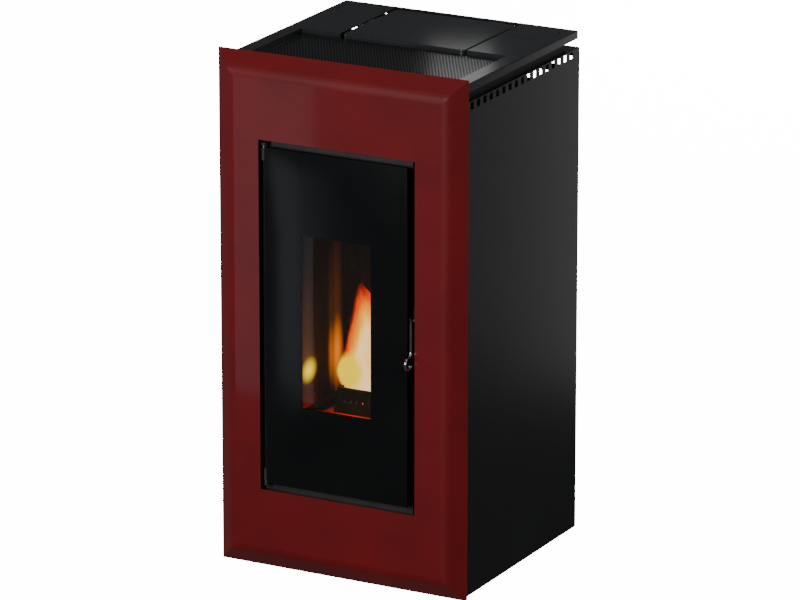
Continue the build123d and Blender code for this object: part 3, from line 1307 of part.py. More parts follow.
def flue_spigot():
    """Square to round adaptor with the pipe stub that stands out behind."""
    low = scroll_points(0)[0][1]
    high = FLUE_Z + FAN_OUTLET_HEIGHT / 2
    middle = (low + high) / 2

    end = FAN_REAR + ADAPTOR_LENGTH

    def form(inset, reach):
        mouth = Rectangle(FAN_WIDTH - 2 * inset, high - low - 2 * inset)
        near = Plane((FAN_X, FAN_REAR, middle), x_dir=(1, 0, 0), z_dir=(0, 1, 0)) * mouth
        far = Plane((FAN_X, end, FLUE_Z), x_dir=(1, 0, 0), z_dir=(0, 1, 0)) * Circle(FLUE_RADIUS - inset)
        return loft([near, far]) + rod_y(FLUE_RADIUS - inset, end, reach, FAN_X, FLUE_Z)

    keep("flue_spigot", form(0, FLUE_END) - form(FLUE_WALL, FLUE_END + 1))


def air_intake():
    end = BODY_DEPTH + INTAKE_STAND
    pipe = rod_y(INTAKE_RADIUS, FIREBOX_REAR, end, INTAKE_X, INTAKE_Z)
    bead = REAR_OUT + INTAKE_BEAD_LENGTH
    pipe += rod_y(INTAKE_RADIUS + INTAKE_BEAD, REAR_OUT, bead, INTAKE_X, INTAKE_Z)
    bore = rod_y(INTAKE_RADIUS - INTAKE_WALL, 0, end + 1, INTAKE_X, INTAKE_Z)
    keep("air_intake_pipe", pipe - bore)


def igniter():
    y0 = POT_Y + POT_WIDTH / 2 + POT_FLARE + 4
    rod = rod_y(IGNITER_RADIUS, y0, PLENUM_BACK + 18, 0, IGNITER_Z)
    rod += rod_y(IGNITER_RADIUS + 3, PLENUM_BACK, PLENUM_BACK + 6, 0, IGNITER_Z)
    keep("igniter", rod)


# ---------------------------------------------------------------- electrics
def control_board():
    """Board on a folded bracket screwed to the rear panel, with its parts."""
    x = -INNER_X + BOARD_X
    y0, y1 = BOARD_FRONT, REAR_IN
    z0, z1 = BOARD_BOTTOM, BOARD_TOP
    bracket = block(x, x + SHEET, y0, y1, z0, z1) + block(x, x + BOARD_TAB, y1 - SHEET, y1, z0, z1)
    keep("board_bracket", bracket)
    face = x + SHEET
    stands = []
    for y in (y0 + BOARD_STAND_FRONT, y1 - BOARD_STAND_REAR):
        for z in (z0 + BOARD_STAND_INSET, z1 - BOARD_STAND_INSET):
            stands.append(rod_x(3, face, face + BOARD_STAND, y, z))
    low = face + BOARD_STAND
    top = low + BOARD_THICK
    board = block(low, top, y0 + 4, y1 - 24, z0 + 6, z1 - 6)
    board += stands
    z = z0 + BOARD_RELAY
    board += block(top, top + BOARD_RELAY, y0 + BOARD_RELAY, y0 + 2 * BOARD_RELAY, z, z + 2 * BOARD_RELAY)
    for i in range(4):
        z = z0 + BOARD_PLUG * (1 + 1.4 * i)
        front, back = y1 - 2 * BOARD_PLUG, y1 - 1.4 * BOARD_PLUG
        board += block(top, top + BOARD_PLUG / 2, front, back, z, z + BOARD_PLUG)
    for i in (1, 2):
        y = y0 + 3 * i * BOARD_CAPACITOR
        board += rod_x(BOARD_CAPACITOR, top, top + 2 * BOARD_CAPACITOR, y, z1 - BOARD_PLUG)
    keep("control_board", board)


def inlet_body(x, width, height, deep):
    """Flange on the rear panel with the body that stands inside."""
    flange = Pos(x, REAR_OUT + 1, INLET_Z) * Box(width + 8, 2, height)
    half = height / 2 - 2
    body = block(x - width / 2, x + width / 2, REAR_OUT - deep, REAR_OUT, INLET_Z - half, INLET_Z + half)
    return flange + body


def power_inlet():
    """Socket and switch frame in one moulding, let into the rear panel."""
    inlet = inlet_body(INLET_X, INLET_WIDTH - 8, INLET_HEIGHT, INLET_DEPTH)
    inlet += inlet_body(SWITCH_X, SWITCH_WIDTH, SWITCH_HEIGHT, SWITCH_DEPTH)
    well = Pos(INLET_X, REAR_OUT - 7, INLET_Z) * Box(28, 18, 18)
    inlet -= fillet(well.edges().filter_by(Axis.Y), 3)
    for i in (-1, 0, 1):
        x = INLET_X + i * PIN_PITCH
        inlet += block(x - 1, x + 1, REAR_OUT - 17, REAR_OUT - 6, INLET_Z - 2.5, INLET_Z + 2.5)
    half_x = SWITCH_WIDTH / 2 - SWITCH_RIM
    half_z = SWITCH_HEIGHT / 2 - SWITCH_RIM
    left, right = SWITCH_X - half_x, SWITCH_X + half_x
    inlet -= block(left, right, REAR_OUT - 10, REAR_OUT + 3, INLET_Z - half_z, INLET_Z + half_z)
    keep("power_inlet", inlet + rod_x(AXLE, left, right, REAR_OUT - 3, INLET_Z))


def rocker_switch():
    """Rocker that tips on the frame's axle."""
    half_x = SWITCH_WIDTH / 2 - SWITCH_RIM - FIT
    half_z = SWITCH_HEIGHT / 2 - SWITCH_RIM - ROCKER_PLAY
    rocker = side_plate([
        (REAR_OUT - 4.5, INLET_Z - half_z),
        (REAR_OUT + 4.5, INLET_Z - half_z),
        (REAR_OUT + 2, INLET_Z),
        (REAR_OUT + 2.5, INLET_Z + half_z),
        (REAR_OUT - 4.5, INLET_Z + half_z),
        (REAR_OUT - 5.5, INLET_Z),
    ], SWITCH_X - half_x, SWITCH_X + half_x)
    bore = rod_x(AXLE + RUNNING_FIT, SWITCH_X - 20, SWITCH_X + 20, REAR_OUT - 3, INLET_Z)
    keep("rocker_switch", rocker - bore)


def reset_thermostat():
    cap = rod_y(RESET_RADIUS + 3, REAR_OUT, REAR_OUT + 9, INLET_X, RESET_Z)
    cap = fillet(cap.edges().group_by(Axis.Y)[-1], 2)
    stem = rod_y(RESET_RADIUS, REAR_OUT - RESET_DEPTH, REAR_OUT, INLET_X, RESET_Z)
    keep("reset_thermostat", cap + stem)


def build():
    front_panel()
    panel_brackets()
    side_panels()
    base_plate()
    levelling_feet()
    front_bulkhead()
    rear_panel()
    rear_screws()
    top_cover()
    cover_brackets()
    top_grille()
    hopper_lid()
    lid_gasket()
    lid_hinges()
    door_glass()
    door_frame()
    inner_pane()
    pane_clips()
    door_gasket()
    hinge_brackets()
    hinge_pins()
    door_lever()
    lever_pin()
    latch_keeper()
    mouth_plate()
    firebox_shell()
    linings()
    burn_pot_carrier()
    burn_pot()
    ash_pan()
    smoke_box()
    exchanger_tubes()
    air_plenum()
    smoke_duct()
    hopper()
    hopper_guard()
    auger_tube()
    auger_bush()
    auger_screw()
    auger_gearmotor()
    pellet_chute()
    convection_housing()
    convection_rotor()
    convection_motor()
    exhaust_housing()
    exhaust_impeller()
    exhaust_motor()
    flue_spigot()
    air_intake()
    igniter()
    control_board()
    power_inlet()
    rocker_switch()
    reset_thermostat()


def write_parts():
    """One STEP file a node."""
    os.makedirs("parts", exist_ok=True)
    for name, shape in nodes.items():
        export_step(shape, f"parts/{name}.step")


build()
write_parts()
print("sub-parts:", len(nodes), "centre:", CENTRE_Y)
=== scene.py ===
import math
import random

import bmesh
import bpy
from mathutils import Euler, Matrix, Vector


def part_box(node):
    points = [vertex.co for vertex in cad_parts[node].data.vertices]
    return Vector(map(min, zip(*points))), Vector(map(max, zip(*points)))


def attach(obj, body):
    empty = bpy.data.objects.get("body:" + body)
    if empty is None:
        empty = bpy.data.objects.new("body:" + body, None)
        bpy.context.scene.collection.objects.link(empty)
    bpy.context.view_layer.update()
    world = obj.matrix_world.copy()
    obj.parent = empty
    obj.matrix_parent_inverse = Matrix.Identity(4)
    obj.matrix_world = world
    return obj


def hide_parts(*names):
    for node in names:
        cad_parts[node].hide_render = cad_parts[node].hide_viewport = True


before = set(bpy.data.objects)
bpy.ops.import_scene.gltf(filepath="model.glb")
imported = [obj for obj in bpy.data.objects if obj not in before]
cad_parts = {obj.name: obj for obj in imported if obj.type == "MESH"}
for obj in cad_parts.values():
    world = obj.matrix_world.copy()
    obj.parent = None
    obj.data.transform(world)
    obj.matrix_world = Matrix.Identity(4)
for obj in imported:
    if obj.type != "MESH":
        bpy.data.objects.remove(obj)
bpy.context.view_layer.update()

# Places are in millimetres from the plane of the front panel's rim, as in the part's
# drawing, and go to metres in the shared frame through at().
RIM = -216.85
MM = 0.001


def at(x, y, z):
    return Vector((x * MM, (y + RIM) * MM, z * MM))


# ---------------------------------------------------------------- nodes and colours
def linear(hex_colour):
    """sRGB hex to the linear RGBA that the shaders take."""
    out = []
    for i in (0, 2, 4):
        c = int(hex_colour[i:i + 2], 16) / 255
        out.append(c / 12.92 if c <= 0.04045 else ((c + 0.055) / 1.055) ** 2.4)
    return (*out, 1.0)


def add(tree, kind, inputs=None, **settings):
    """Adds a node: settings are its own fields, inputs are values or other sockets."""
    made = tree.nodes.new(kind)
    for key, value in settings.items():
        setattr(made, key, value)
    for key, value in (inputs or {}).items():
        if isinstance(value, bpy.types.NodeSocket):
            tree.links.new(value, made.inputs[key])
        else:
            made.inputs[key].default_value = value
    return made


def new_material(name):
    made = bpy.data.materials.new(name)
    made.use_nodes = True
    made.node_tree.nodes.clear()
    return made, made.node_tree


def finish_material(tree, shader):
    add(tree, "ShaderNodeOutputMaterial", {"Surface": shader})


def ramp(tree, factor, stops):
    """Colour ramp from (position, hex) stops."""
    made = add(tree, "ShaderNodeValToRGB", {"Fac": factor})
    points = made.color_ramp.elements
    while len(points) < len(stops):
        points.new(1.0)
    for point, (position, colour) in zip(points, stops):
        point.position = position
        point.color = linear(colour)
    return made.outputs["Color"]


def level(tree, value, low, high, to_low, to_high):
    made = add(tree, "ShaderNodeMapRange", {
        "Value": value, "From Min": low, "From Max": high, "To Min": to_low, "To Max": to_high})
    return made.outputs["Result"]


def place(tree):
    return add(tree, "ShaderNodeTexCoord").outputs["Object"]


def vector_math(tree, operation, first, second):
    return add(tree, "ShaderNodeVectorMath", {0: first, 1: second}, operation=operation).outputs[0]


def noise(tree, size_mm, detail=2.0, rough=0.5, where=None, stretch=None):
    """Noise whose main lumps are size_mm across."""
    vector = where or place(tree)
    if stretch:
        vector = add(tree, "ShaderNodeMapping", {"Vector": vector, "Scale": stretch}).outputs["Vector"]
    return add(tree, "ShaderNodeTexNoise", {
        "Vector": vector, "Scale": 1000.0 / size_mm, "Detail": detail, "Roughness": rough}).outputs["Fac"]


def bump(tree, height, depth_mm, strength=1.0, normal=None):
    inputs = {"Height": height, "Distance": depth_mm * MM, "Strength": strength}
    if normal:
        inputs["Normal"] = normal
    return add(tree, "ShaderNodeBump", inputs).outputs["Normal"]


# ---------------------------------------------------------------- materials
def bordeaux_stove_enamel():
    """Steel sheet with sprayed gloss lacquer, baked: deep red, a wet clear layer with faint
    orange peel a couple of millimetres across, slightly cloudy colour."""
    mat, tree = new_material("bordeaux_lacquered_steel")
    cloud = noise(tree, 90, 2)
    colour = ramp(tree, cloud, [(0.3, "5a080b"), (0.7, "64090d")])
    peel = bump(tree, noise(tree, 2.6, 1), 0.006, 0.35)
    soft = bump(tree, noise(tree, 60, 1), 0.05, 0.25, peel)
    shader = add(tree, "ShaderNodeBsdfPrincipled", {
        "Base Color": colour, "Roughness": 0.42, "IOR": 1.5, "Specular IOR Level": 0.25,
        "Coat Weight": 0.8, "Coat Roughness": 0.08, "Coat IOR": 1.5, "Normal": soft, "Coat Normal": soft})
    finish_material(tree, shader.outputs[0])
    return mat


def powder_coat(name, low, high, rough, grain_mm=0.9, relief=0.02):
    """Steel sheet with baked polyester powder: a fine leather-like grain that spreads the
    light, drawn about twice its real size so that it shows."""
    mat, tree = new_material(name)
    grain = noise(tree, grain_mm, 2, 0.6)
    broad = noise(tree, 140, 3)
    mixed = add(tree, "ShaderNodeMath", {0: grain, 1: broad}, operation="MULTIPLY").outputs[0]
    colour = ramp(tree, mixed, [(0.12, low), (0.40, high)])
    spread = level(tree, grain, 0.3, 0.7, rough - 0.04, rough + 0.05)
    shader = add(tree, "ShaderNodeBsdfPrincipled", {
        "Base Color": colour, "Roughness": spread, "IOR": 1.5, "Normal": bump(tree, grain, relief, 0.6)})
    finish_material(tree, shader.outputs[0])
    return mat


def galvanised_sheet():
    """Hot-dip zinc on steel: flat crystals 8 mm across, each a little lighter or duller."""
    mat, tree = new_material("hot_dip_galvanised_steel")
    spangle = add(tree, "ShaderNodeTexVoronoi", {
        "Vector": place(tree), "Scale": 1000 / 8.0, "Randomness": 1.0}).outputs["Color"]
    grey = add(tree, "ShaderNodeRGBToBW", {"Color": spangle}).outputs[0]
    colour = ramp(tree, grey, [(0.2, "8e9193"), (0.8, "b4b7b9")])
    shader = add(tree, "ShaderNodeBsdfPrincipled", {
        "Base Color": colour, "Metallic": 0.9, "Roughness": level(tree, grey, 0.2, 0.8, 0.32, 0.52),
        "Normal": bump(tree, noise(tree, 14, 2), 0.02, 0.3)})
    finish_material(tree, shader.outputs[0])
    return mat


def brushed_or_turned(name, low, high, rough, size_mm, stretch, relief=0.006):
    """Bare metal with fine tool lines along one way."""
    mat, tree = new_material(name)
    lines = noise(tree, size_mm, 3, 0.6, stretch=stretch)
    colour = ramp(tree, lines, [(0.3, low), (0.7, high)])
    spread = level(tree, lines, 0.3, 0.7, rough - 0.06, rough + 0.08)
    shader = add(tree, "ShaderNodeBsdfPrincipled", {
        "Base Color": colour, "Metallic": 1.0, "Roughness": spread, "Normal": bump(tree, lines, relief, 0.5)})
    finish_material(tree, shader.outputs[0])
    return mat


def heat_resistant_black():
    """Silicone stove paint: dead matt, slightly powdery, with a grey bloom where it ran hot."""
    mat, tree = new_material("matt_stove_paint")
    bloom = noise(tree, 45, 4, 0.6)
    colour = ramp(tree, bloom, [(0.35, "0f0f0f"), (0.75, "232120")])
    grain = noise(tree, 0.7, 2)
    shader = add(tree, "ShaderNodeBsdfPrincipled", {
        "Base Color": colour, "Roughness": 0.62, "IOR": 1.5, "Normal": bump(tree, grain, 0.015, 0.5)})
    finish_material(tree, shader.outputs[0])
    return mat


def sand_cast(name, low, high, rough, relief, glow=()):
    """Iron as it leaves the sand: pitted skin about a millimetre across and a stain that the heat drew;
    where a fire sits before it, painted firelight: emission patches in place of the fire's light and
    reflection."""
    mat, tree = new_material(name)
    pits = noise(tree, 1.6, 3, 0.6)
    stain = noise(tree, 38, 4, 0.6, stretch=(1, 1, 0.35))
    colour = ramp(tree, stain, [(0.3, low), (0.7, high)])
    inputs = {"Base Color": colour, "Roughness": rough, "IOR": 1.5, "Normal": bump(tree, pits, relief, 0.7)}
    total = None
    # Painted firelight: each patch is emission that stands in for the fire's light and reflection falling on
    # the iron.
    for centre, size, hex_colour, strength in glow:
        offset = vector_math(tree, "SUBTRACT", place(tree), tuple(centre))
        scaled = vector_math(tree, "DIVIDE", offset, size)
        far = add(tree, "ShaderNodeVectorMath", {0: scaled}, operation="LENGTH").outputs["Value"]
        painted_firelight_falloff = add(tree, "ShaderNodeMapRange", {
            "Value": far, "From Min": 1.0, "From Max": 0.0, "To Min": 0.0, "To Max": strength},
            interpolation_type="SMOOTHSTEP").outputs["Result"]
        painted_firelight_patch = add(tree, "ShaderNodeVectorMath", {0: linear(hex_colour)[:3], "Scale": painted_firelight_falloff},
                    operation="SCALE").outputs[0]
        if total:
            painted_firelight_patch = vector_math(tree, "ADD", total, painted_firelight_patch)
        total = painted_firelight_patch
    if total:
        inputs["Emission Color"] = total
        inputs["Emission Strength"] = 1.0
    shader = add(tree, "ShaderNodeBsdfPrincipled", inputs)
    finish_material(tree, shader.outputs[0])
    return mat


def printed_glass():
    """Glass ceramic with black enamel fired on its rear face: deep gloss over flat black."""
    mat, tree = new_material("black_printed_glass_ceramic")
    haze = noise(tree, 120, 2)
    colour = ramp(tree, haze, [(0.3, "060708"), (0.7, "090a0b")])
    shader = add(tree, "ShaderNodeBsdfPrincipled", {
        "Base Color": colour, "Roughness": level(tree, haze, 0.3, 0.7, 0.15, 0.18), "IOR": 1.53})
    finish_material(tree, shader.outputs[0])
    return mat


def clear_glass(name, tint):
    """Clear glass ceramic: faintly amber, with a thin veil of smoke low down."""
    mat, tree = new_material(name)
    veil = noise(tree, 60, 3)
    shader = add(tree, "ShaderNodeBsdfPrincipled", {
        "Base Color": ramp(tree, veil, [(0.3, tint), (0.8, "fffaf0")]), "Roughness": 0.0, "IOR": 1.45,
        "Specular IOR Level": 0.06, "Transmission Weight": 1.0})
    finish_material(tree, shader.outputs[0])
    return mat


def polished_chrome():
    """Nickel and chrome plate over steel wire: a mirror with a faint waviness."""
    mat, tree = new_material("polished_chrome_plate")
    wave = noise(tree, 9, 1)
    shader = add(tree, "ShaderNodeBsdfPrincipled", {
        "Base Color": ramp(tree, wave, [(0.3, "a6a8aa"), (0.7, "b6b7b9")]), "Metallic": 1.0,
        "Roughness": 0.07, "Normal": bump(tree, wave, 0.02, 0.2)})
    finish_material(tree, shader.outputs[0])
    return mat


def moulded(name, low, high, rough, spark_mm=0.8):
    """Moulded plastic with a spark-eroded texture from its tool."""
    mat, tree = new_material(name)
    texture = noise(tree, spark_mm, 2)
    shader = add(tree, "ShaderNodeBsdfPrincipled", {
        "Base Color": ramp(tree, texture, [(0.3, low), (0.7, high)]), "Roughness": rough, "IOR": 1.49,
        "Normal": bump(tree, texture, 0.02, 0.5)})
    finish_material(tree, shader.outputs[0])
    return mat


def braided_rope():
    """Glass-fibre rope: black strands laid slantwise round it, 3 mm apart."""
    mat, tree = new_material("glass_fibre_rope")
    braid = add(tree, "ShaderNodeTexWave", {
        "Vector": place(tree), "Scale": 1000 / 3.0 / 6.28, "Distortion": 1.5, "Detail": 2.0,
        "Detail Scale": 3.0}, wave_type="BANDS", bands_direction="DIAGONAL").outputs["Fac"]
    fibre = noise(tree, 0.6, 2)
    mixed = add(tree, "ShaderNodeMath", {0: braid, 1: fibre}, operation="MULTIPLY").outputs[0]
    shader = add(tree, "ShaderNodeBsdfPrincipled", {
        "Base Color": ramp(tree, mixed, [(0.1, "141312"), (0.6, "3b3936")]), "Roughness": 0.9,
        "Sheen Weight": 0.3, "Normal": bump(tree, mixed, 0.5, 0.8)})
    finish_material(tree, shader.outputs[0])
    return mat


def circuit_board():
    """Solder-masked glass epoxy: green with copper runs 2 mm wide showing through."""
    mat, tree = new_material("solder_masked_board")
    runs = add(tree, "ShaderNodeTexBrick", {
        "Vector": add(tree, "ShaderNodeMapping", {
            "Vector": place(tree), "Rotation": (0, math.pi / 2, 0)}).outputs[0],
        "Scale": 60.0, "Mortar Size": 0.06, "Color1": linear("0d3a1d"), "Color2": linear("0f4222"),
        "Mortar": linear("1d6a3a")}).outputs["Color"]
    shader = add(tree, "ShaderNodeBsdfPrincipled", {
        "Base Color": runs, "Roughness": 0.35, "Coat Weight": 0.4, "Coat Roughness": 0.2})
    finish_material(tree, shader.outputs[0])
    return mat


FLAME_COLOURS = [
    (0.02, "640600"), (0.20, "dc2400"), (0.38, "ff6000"), (0.58, "ffa000"), (0.80, "ffc850"), (1.0, "ffdca6"),
]
FLAME_HEART = (-24, 66, 373)
HEART_COLOUR = "ffea00"
HEART_RADII = (0.036, 0.022)
HEART_STRENGTH = 1.45


def flame_gas():
    """Burning gas: thin and red where it ends to the left, above and to the right, cream inside,
    with a clear yellow heart low on the left, all ragged by rising noise."""
    mat, tree = new_material("burning_wood_gas")

    def sum_of(a, b, operation="ADD"):
        return add(tree, "ShaderNodeMath", {0: a, 1: b}, operation=operation).outputs[0]

    where = place(tree)
    axes = add(tree, "ShaderNodeSeparateXYZ", {"Vector": where}).outputs
    ragged = level(tree, noise(tree, 22, 3, 0.6, where, (1, 1, 0.28)), 0.3, 0.7, -0.14, 0.14)
    edge = level(tree, axes["Z"], 0.340, 0.532, -0.064, -0.014)
    from_left = level(tree, sum_of(axes["X"], edge, "SUBTRACT"), 0.0, 0.046, 0.0, 1.0)
    from_tip = level(tree, axes["Z"], 0.536, 0.455, 0.0, 1.0)
    from_right = level(tree, axes["X"], 0.058, 0.020, 0.0, 1.0)
    inside = sum_of(sum_of(from_left, from_tip, "MINIMUM"), from_right, "MINIMUM")
    inside = sum_of(inside, ragged)
    colour = ramp(tree, inside, FLAME_COLOURS)
    offset = vector_math(tree, "SUBTRACT", where, tuple(at(*FLAME_HEART)))
    flat = vector_math(tree, "MULTIPLY", offset, (1.0, 0.0, 1.0))
    far = add(tree, "ShaderNodeVectorMath", {0: flat}, operation="LENGTH").outputs["Value"]
    heart = level(tree, far, *HEART_RADII, 0.0, 1.0)
    warm = add(tree, "ShaderNodeMix", data_type="RGBA")
    tree.links.new(heart, warm.inputs[0])
    tree.links.new(colour, warm.inputs[6])
    warm.inputs[7].default_value = linear(HEART_COLOUR)
    strength = add(tree, "ShaderNodeMix", {
        0: heart, 2: level(tree, inside, 0.0, 0.9, 0.6, 1.9), 3: HEART_STRENGTH}, data_type="FLOAT")
    glow = add(tree, "ShaderNodeEmission", {"Color": warm.outputs[2], "Strength": strength.outputs[0]})
    clear = add(tree, "ShaderNodeBsdfTransparent")
    share = sum_of(level(tree, inside, 0.02, 0.36, 0.0, 0.97), heart, "MAXIMUM")
    mixed = add(tree, "ShaderNodeMixShader", {"Fac": share, 1: clear.outputs[0], 2: glow.outputs[0]})
    finish_material(tree, mixed.outputs[0])
    return mat


def glowing_pellets():
    """Pressed wood as it burns: grey ash skin with orange heat in its cracks."""
    mat, tree = new_material("burning_wood_pellets")
    cracks = noise(tree, 5, 3, 0.6)
    colour = ramp(tree, cracks, [(0.35, "2a1c14"), (0.6, "6a5a4c")])
    heat = ramp(tree, cracks, [(0.40, "000000"), (0.58, "ff5a08"), (0.75, "ffd060")])
    shader = add(tree, "ShaderNodeBsdfPrincipled", {
        "Base Color": colour, "Roughness": 0.9, "Emission Color": heat, "Emission Strength": 6.0,
        "Normal": bump(tree, cracks, 0.4, 0.7)})
    finish_material(tree, shader.outputs[0])
    return mat


bordeaux = bordeaux_stove_enamel()
side_black = powder_coat("satin_black_powder_coat", "0c0d0d", "161717", 0.40)
anthracite = powder_coat("anthracite_powder_coat", "17191b", "24262a", 0.28, 0.8, 0.02)
grille_black = powder_coat("satin_black_grille_coat", "0a0b0c", "131416", 0.30, 0.8, 0.02)
# Painted shade: the rails' coat is darkened to near black to stand in for the shade under the cover.
rail_black_painted_shade = powder_coat("rail_coat_painted_shade_black", "050505", "0a0a0a", 0.62, 0.8, 0.02)
zinc = galvanised_sheet()
stove_black = heat_resistant_black()
steel = brushed_or_turned("bright_drawn_steel", "8f9092", "b5b6b8", 0.34, 0.7, (1, 1, 9))
stainless = brushed_or_turned("heat_tinted_stainless_tube", "6f6a66", "9d9892", 0.38, 0.9, (1, 8, 1))
aluminium = brushed_or_turned("mill_finish_aluminium", "a2a4a6", "c0c2c4", 0.36, 0.8, (9, 1, 1))
bronze = brushed_or_turned("sintered_bronze", "8a6336", "b3854b", 0.45, 0.5, (1, 1, 1), 0.02)
hinge_steel = brushed_or_turned("blackened_hinge_steel", "2c2d2f", "424345", 0.42, 0.7, (1, 1, 6))
chrome = polished_chrome()
back_iron = sand_cast("sooted_lining_iron", "0b0705", "17100b", 0.7, 0.35)
# Painted firelight on the left lining: a painted reflection of the flame as a yellow spot with its
# halo and column, a painted orange column of fire light, and the embers' painted red light low down.
# Centre, half sizes in metres, colour and strength.
side_iron_painted_firelight = sand_cast("heat_stained_lining_iron_painted_firelight", "1c120a", "332013", 0.5, 0.35, (
    (at(-97, 55, 367), (0.05, 0.034, 0.028), "ffe400", 1.7),
    (at(-97, 50, 372), (0.05, 0.042, 0.075), "a05010", 0.25),
    (at(-97, 46, 440), (0.05, 0.036, 0.150), "6a3c14", 0.22),
    (at(-97, 158, 372), (0.03, 0.027, 0.080), "ff8c00", 1.1),
    (at(-97, 156, 440), (0.03, 0.028, 0.200), "8a4a14", 0.30),
    (at(-97, 40, 300), (0.05, 0.060, 0.035), "a02008", 0.35),
))
pot_iron = sand_cast("raw_cast_iron", "080706", "0f0d0c", 0.75, 0.30)
# Painted ember light: a red emission patch on the carrier plate by the pot stands in for the embers' light
# falling on it.
carrier_iron_painted_emberlight = sand_cast(
    "carrier_plate_painted_emberlight", "17120f", "2a1c14", 0.6, 0.2,
    ((at(-4, 50, 300), (0.080, 0.04, 0.03), "c83006", 1.3),))
black_glass = printed_glass()
window_glass = clear_glass("clear_glass_ceramic", "fff4e2")
pane_glass = clear_glass("inner_glass_ceramic", "fff0dc")
motor_grey = powder_coat("motor_housing_enamel", "3a3c3f", "4a4c50", 0.42)
black_nylon = moulded("black_glass_filled_nylon", "101011", "1a1a1b", 0.45)
rubber = moulded("closed_cell_sponge_rubber", "0e0e0e", "1b1b1b", 0.85, 1.4)
rope = braided_rope()
board = circuit_board()
heater = brushed_or_turned("heater_sheath_alloy", "54504c", "7a746d", 0.4, 0.8, (1, 6, 1))

NODE_FINISH = {
    "front_panel": bordeaux,
    "side_panel_left": side_black, "side_panel_right": side_black,
    "top_cover": anthracite, "hopper_lid": anthracite, "top_grille": grille_black,
    "base_plate": zinc, "rear_panel": zinc, "front_bulkhead": stove_black, "air_plenum": zinc,
    "hopper": zinc, "hopper_guard": steel, "convection_housing": zinc, "board_bracket": zinc,
    "cover_brackets": stove_black, "panel_brackets": zinc, "lid_hinge_brackets": hinge_steel,
    "door_frame": stove_black, "mouth_plate": stove_black, "firebox_shell": stove_black,
    "smoke_box": stove_black, "smoke_duct": stove_black, "exhaust_housing": stove_black,
    "flue_spigot": stove_black, "air_intake_pipe": stove_black, "hinge_brackets": stove_black,
    "burn_pot_carrier": carrier_iron_painted_emberlight, "ash_pan": stove_black, "hinge_pins": steel,
    "lid_hinge_pins": steel, "lid_hinge_leaves": hinge_steel, "rear_screws": steel,
    "levelling_feet": black_nylon, "latch_keeper": steel, "lever_pin": steel, "auger_tube": steel,
    "auger_screw": steel, "pellet_chute": stainless, "exchanger_tubes": stainless,
    "exhaust_impeller": steel, "pane_clips": steel, "door_lever": chrome, "door_glass": black_glass,
    "inner_pane": pane_glass, "lining_left": side_iron_painted_firelight, "lining_right": side_iron_painted_firelight,
    "lining_back": back_iron, "burn_pot": pot_iron, "door_gasket": rope, "lid_gasket": rubber,
    "auger_bush": bronze, "auger_gearmotor": motor_grey, "exhaust_motor": motor_grey,
    "convection_motor": motor_grey, "convection_rotor": aluminium, "igniter": heater,
    "control_board": board, "power_inlet": black_nylon, "rocker_switch": black_nylon,
    "reset_thermostat": black_nylon,
}
for name, finish in NODE_FINISH.items():
    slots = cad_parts[name].data.materials
    slots.clear()
    slots.append(finish)


# ---------------------------------------------------------------- modelling helpers
def nothing_selected():
    if bpy.context.object and bpy.context.object.mode != "OBJECT":
        bpy.ops.object.mode_set(mode="OBJECT")
    bpy.ops.object.select_all(action="DESELECT")


def begin(name):
    made = bpy.context.object
    made.name = name
    made.data.name = name
    return made


def pick(obj, test, kind="faces"):
    """Selects the faces, edges or vertices whose centre and normal pass the test."""
    bpy.ops.mesh.select_mode(type={"faces": "FACE", "edges": "EDGE", "verts": "VERT"}[kind])
    bm = bmesh.from_edit_mesh(obj.data)
    for group in (bm.faces, bm.edges, bm.verts):
        for item in group:
            item.select_set(False)
    for item in getattr(bm, kind):
        if kind == "faces":
            chosen = test(item.calc_center_median(), item.normal)
        elif kind == "edges":
            chosen = test(item.verts[0].co, item.verts[1].co)
        else:
            chosen = test(item.co)
        if chosen:
            item.select_set(True)
    bm.select_flush_mode()
    bmesh.update_edit_mesh(obj.data)


def box_piece(name, low, high):
    """A cube set between two corners, left in edit mode."""
    nothing_selected()
    bpy.ops.mesh.primitive_cube_add(size=1, location=(0, 0, 0))
    made = begin(name)
    bpy.ops.object.mode_set(mode="EDIT")
    bpy.ops.mesh.select_all(action="SELECT")
    bpy.ops.transform.resize(value=tuple(high - low))
    bpy.ops.transform.translate(value=tuple((low + high) / 2))
    return made


def close_piece(made, body, finish, angle=30, stands_for=()):
    """Leaves edit mode, cleans the mesh, gives it its finish and its body."""
    if made.mode != "OBJECT":
        bpy.ops.object.mode_set(mode="OBJECT")
    nothing_selected()
    bpy.context.view_layer.objects.active = made
    made.select_set(True)
    bpy.ops.object.transform_apply(location=True, rotation=True, scale=True)
    bpy.ops.object.mode_set(mode="EDIT")
    bpy.ops.mesh.select_all(action="SELECT")
    bpy.ops.mesh.remove_doubles(threshold=0.00001)
    bpy.ops.mesh.normals_make_consistent(inside=False)
    bpy.ops.object.mode_set(mode="OBJECT")
    bpy.ops.object.shade_smooth_by_angle(angle=math.radians(angle))
    if finish:
        made.data.materials.clear()
        made.data.materials.append(finish)
    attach(made, body)
    if stands_for:
        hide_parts(*stands_for)
    nothing_selected()
    return made


def apply_modifier(made, kind, **settings):
    modifier = made.modifiers.new(kind.title(), kind)
    for key, value in settings.items():
        setattr(modifier, key, value)
    bpy.context.view_layer.objects.active = made
    bpy.ops.object.modifier_apply(modifier=modifier.name)


# ---------------------------------------------------------------- door glass
GLASS = {"x": 140.5, "front": -26.0, "back": -21.0, "low": 173.7, "high": 787.7}
WINDOW = {"x": 68.5, "low": 323.0, "high": 638.0}


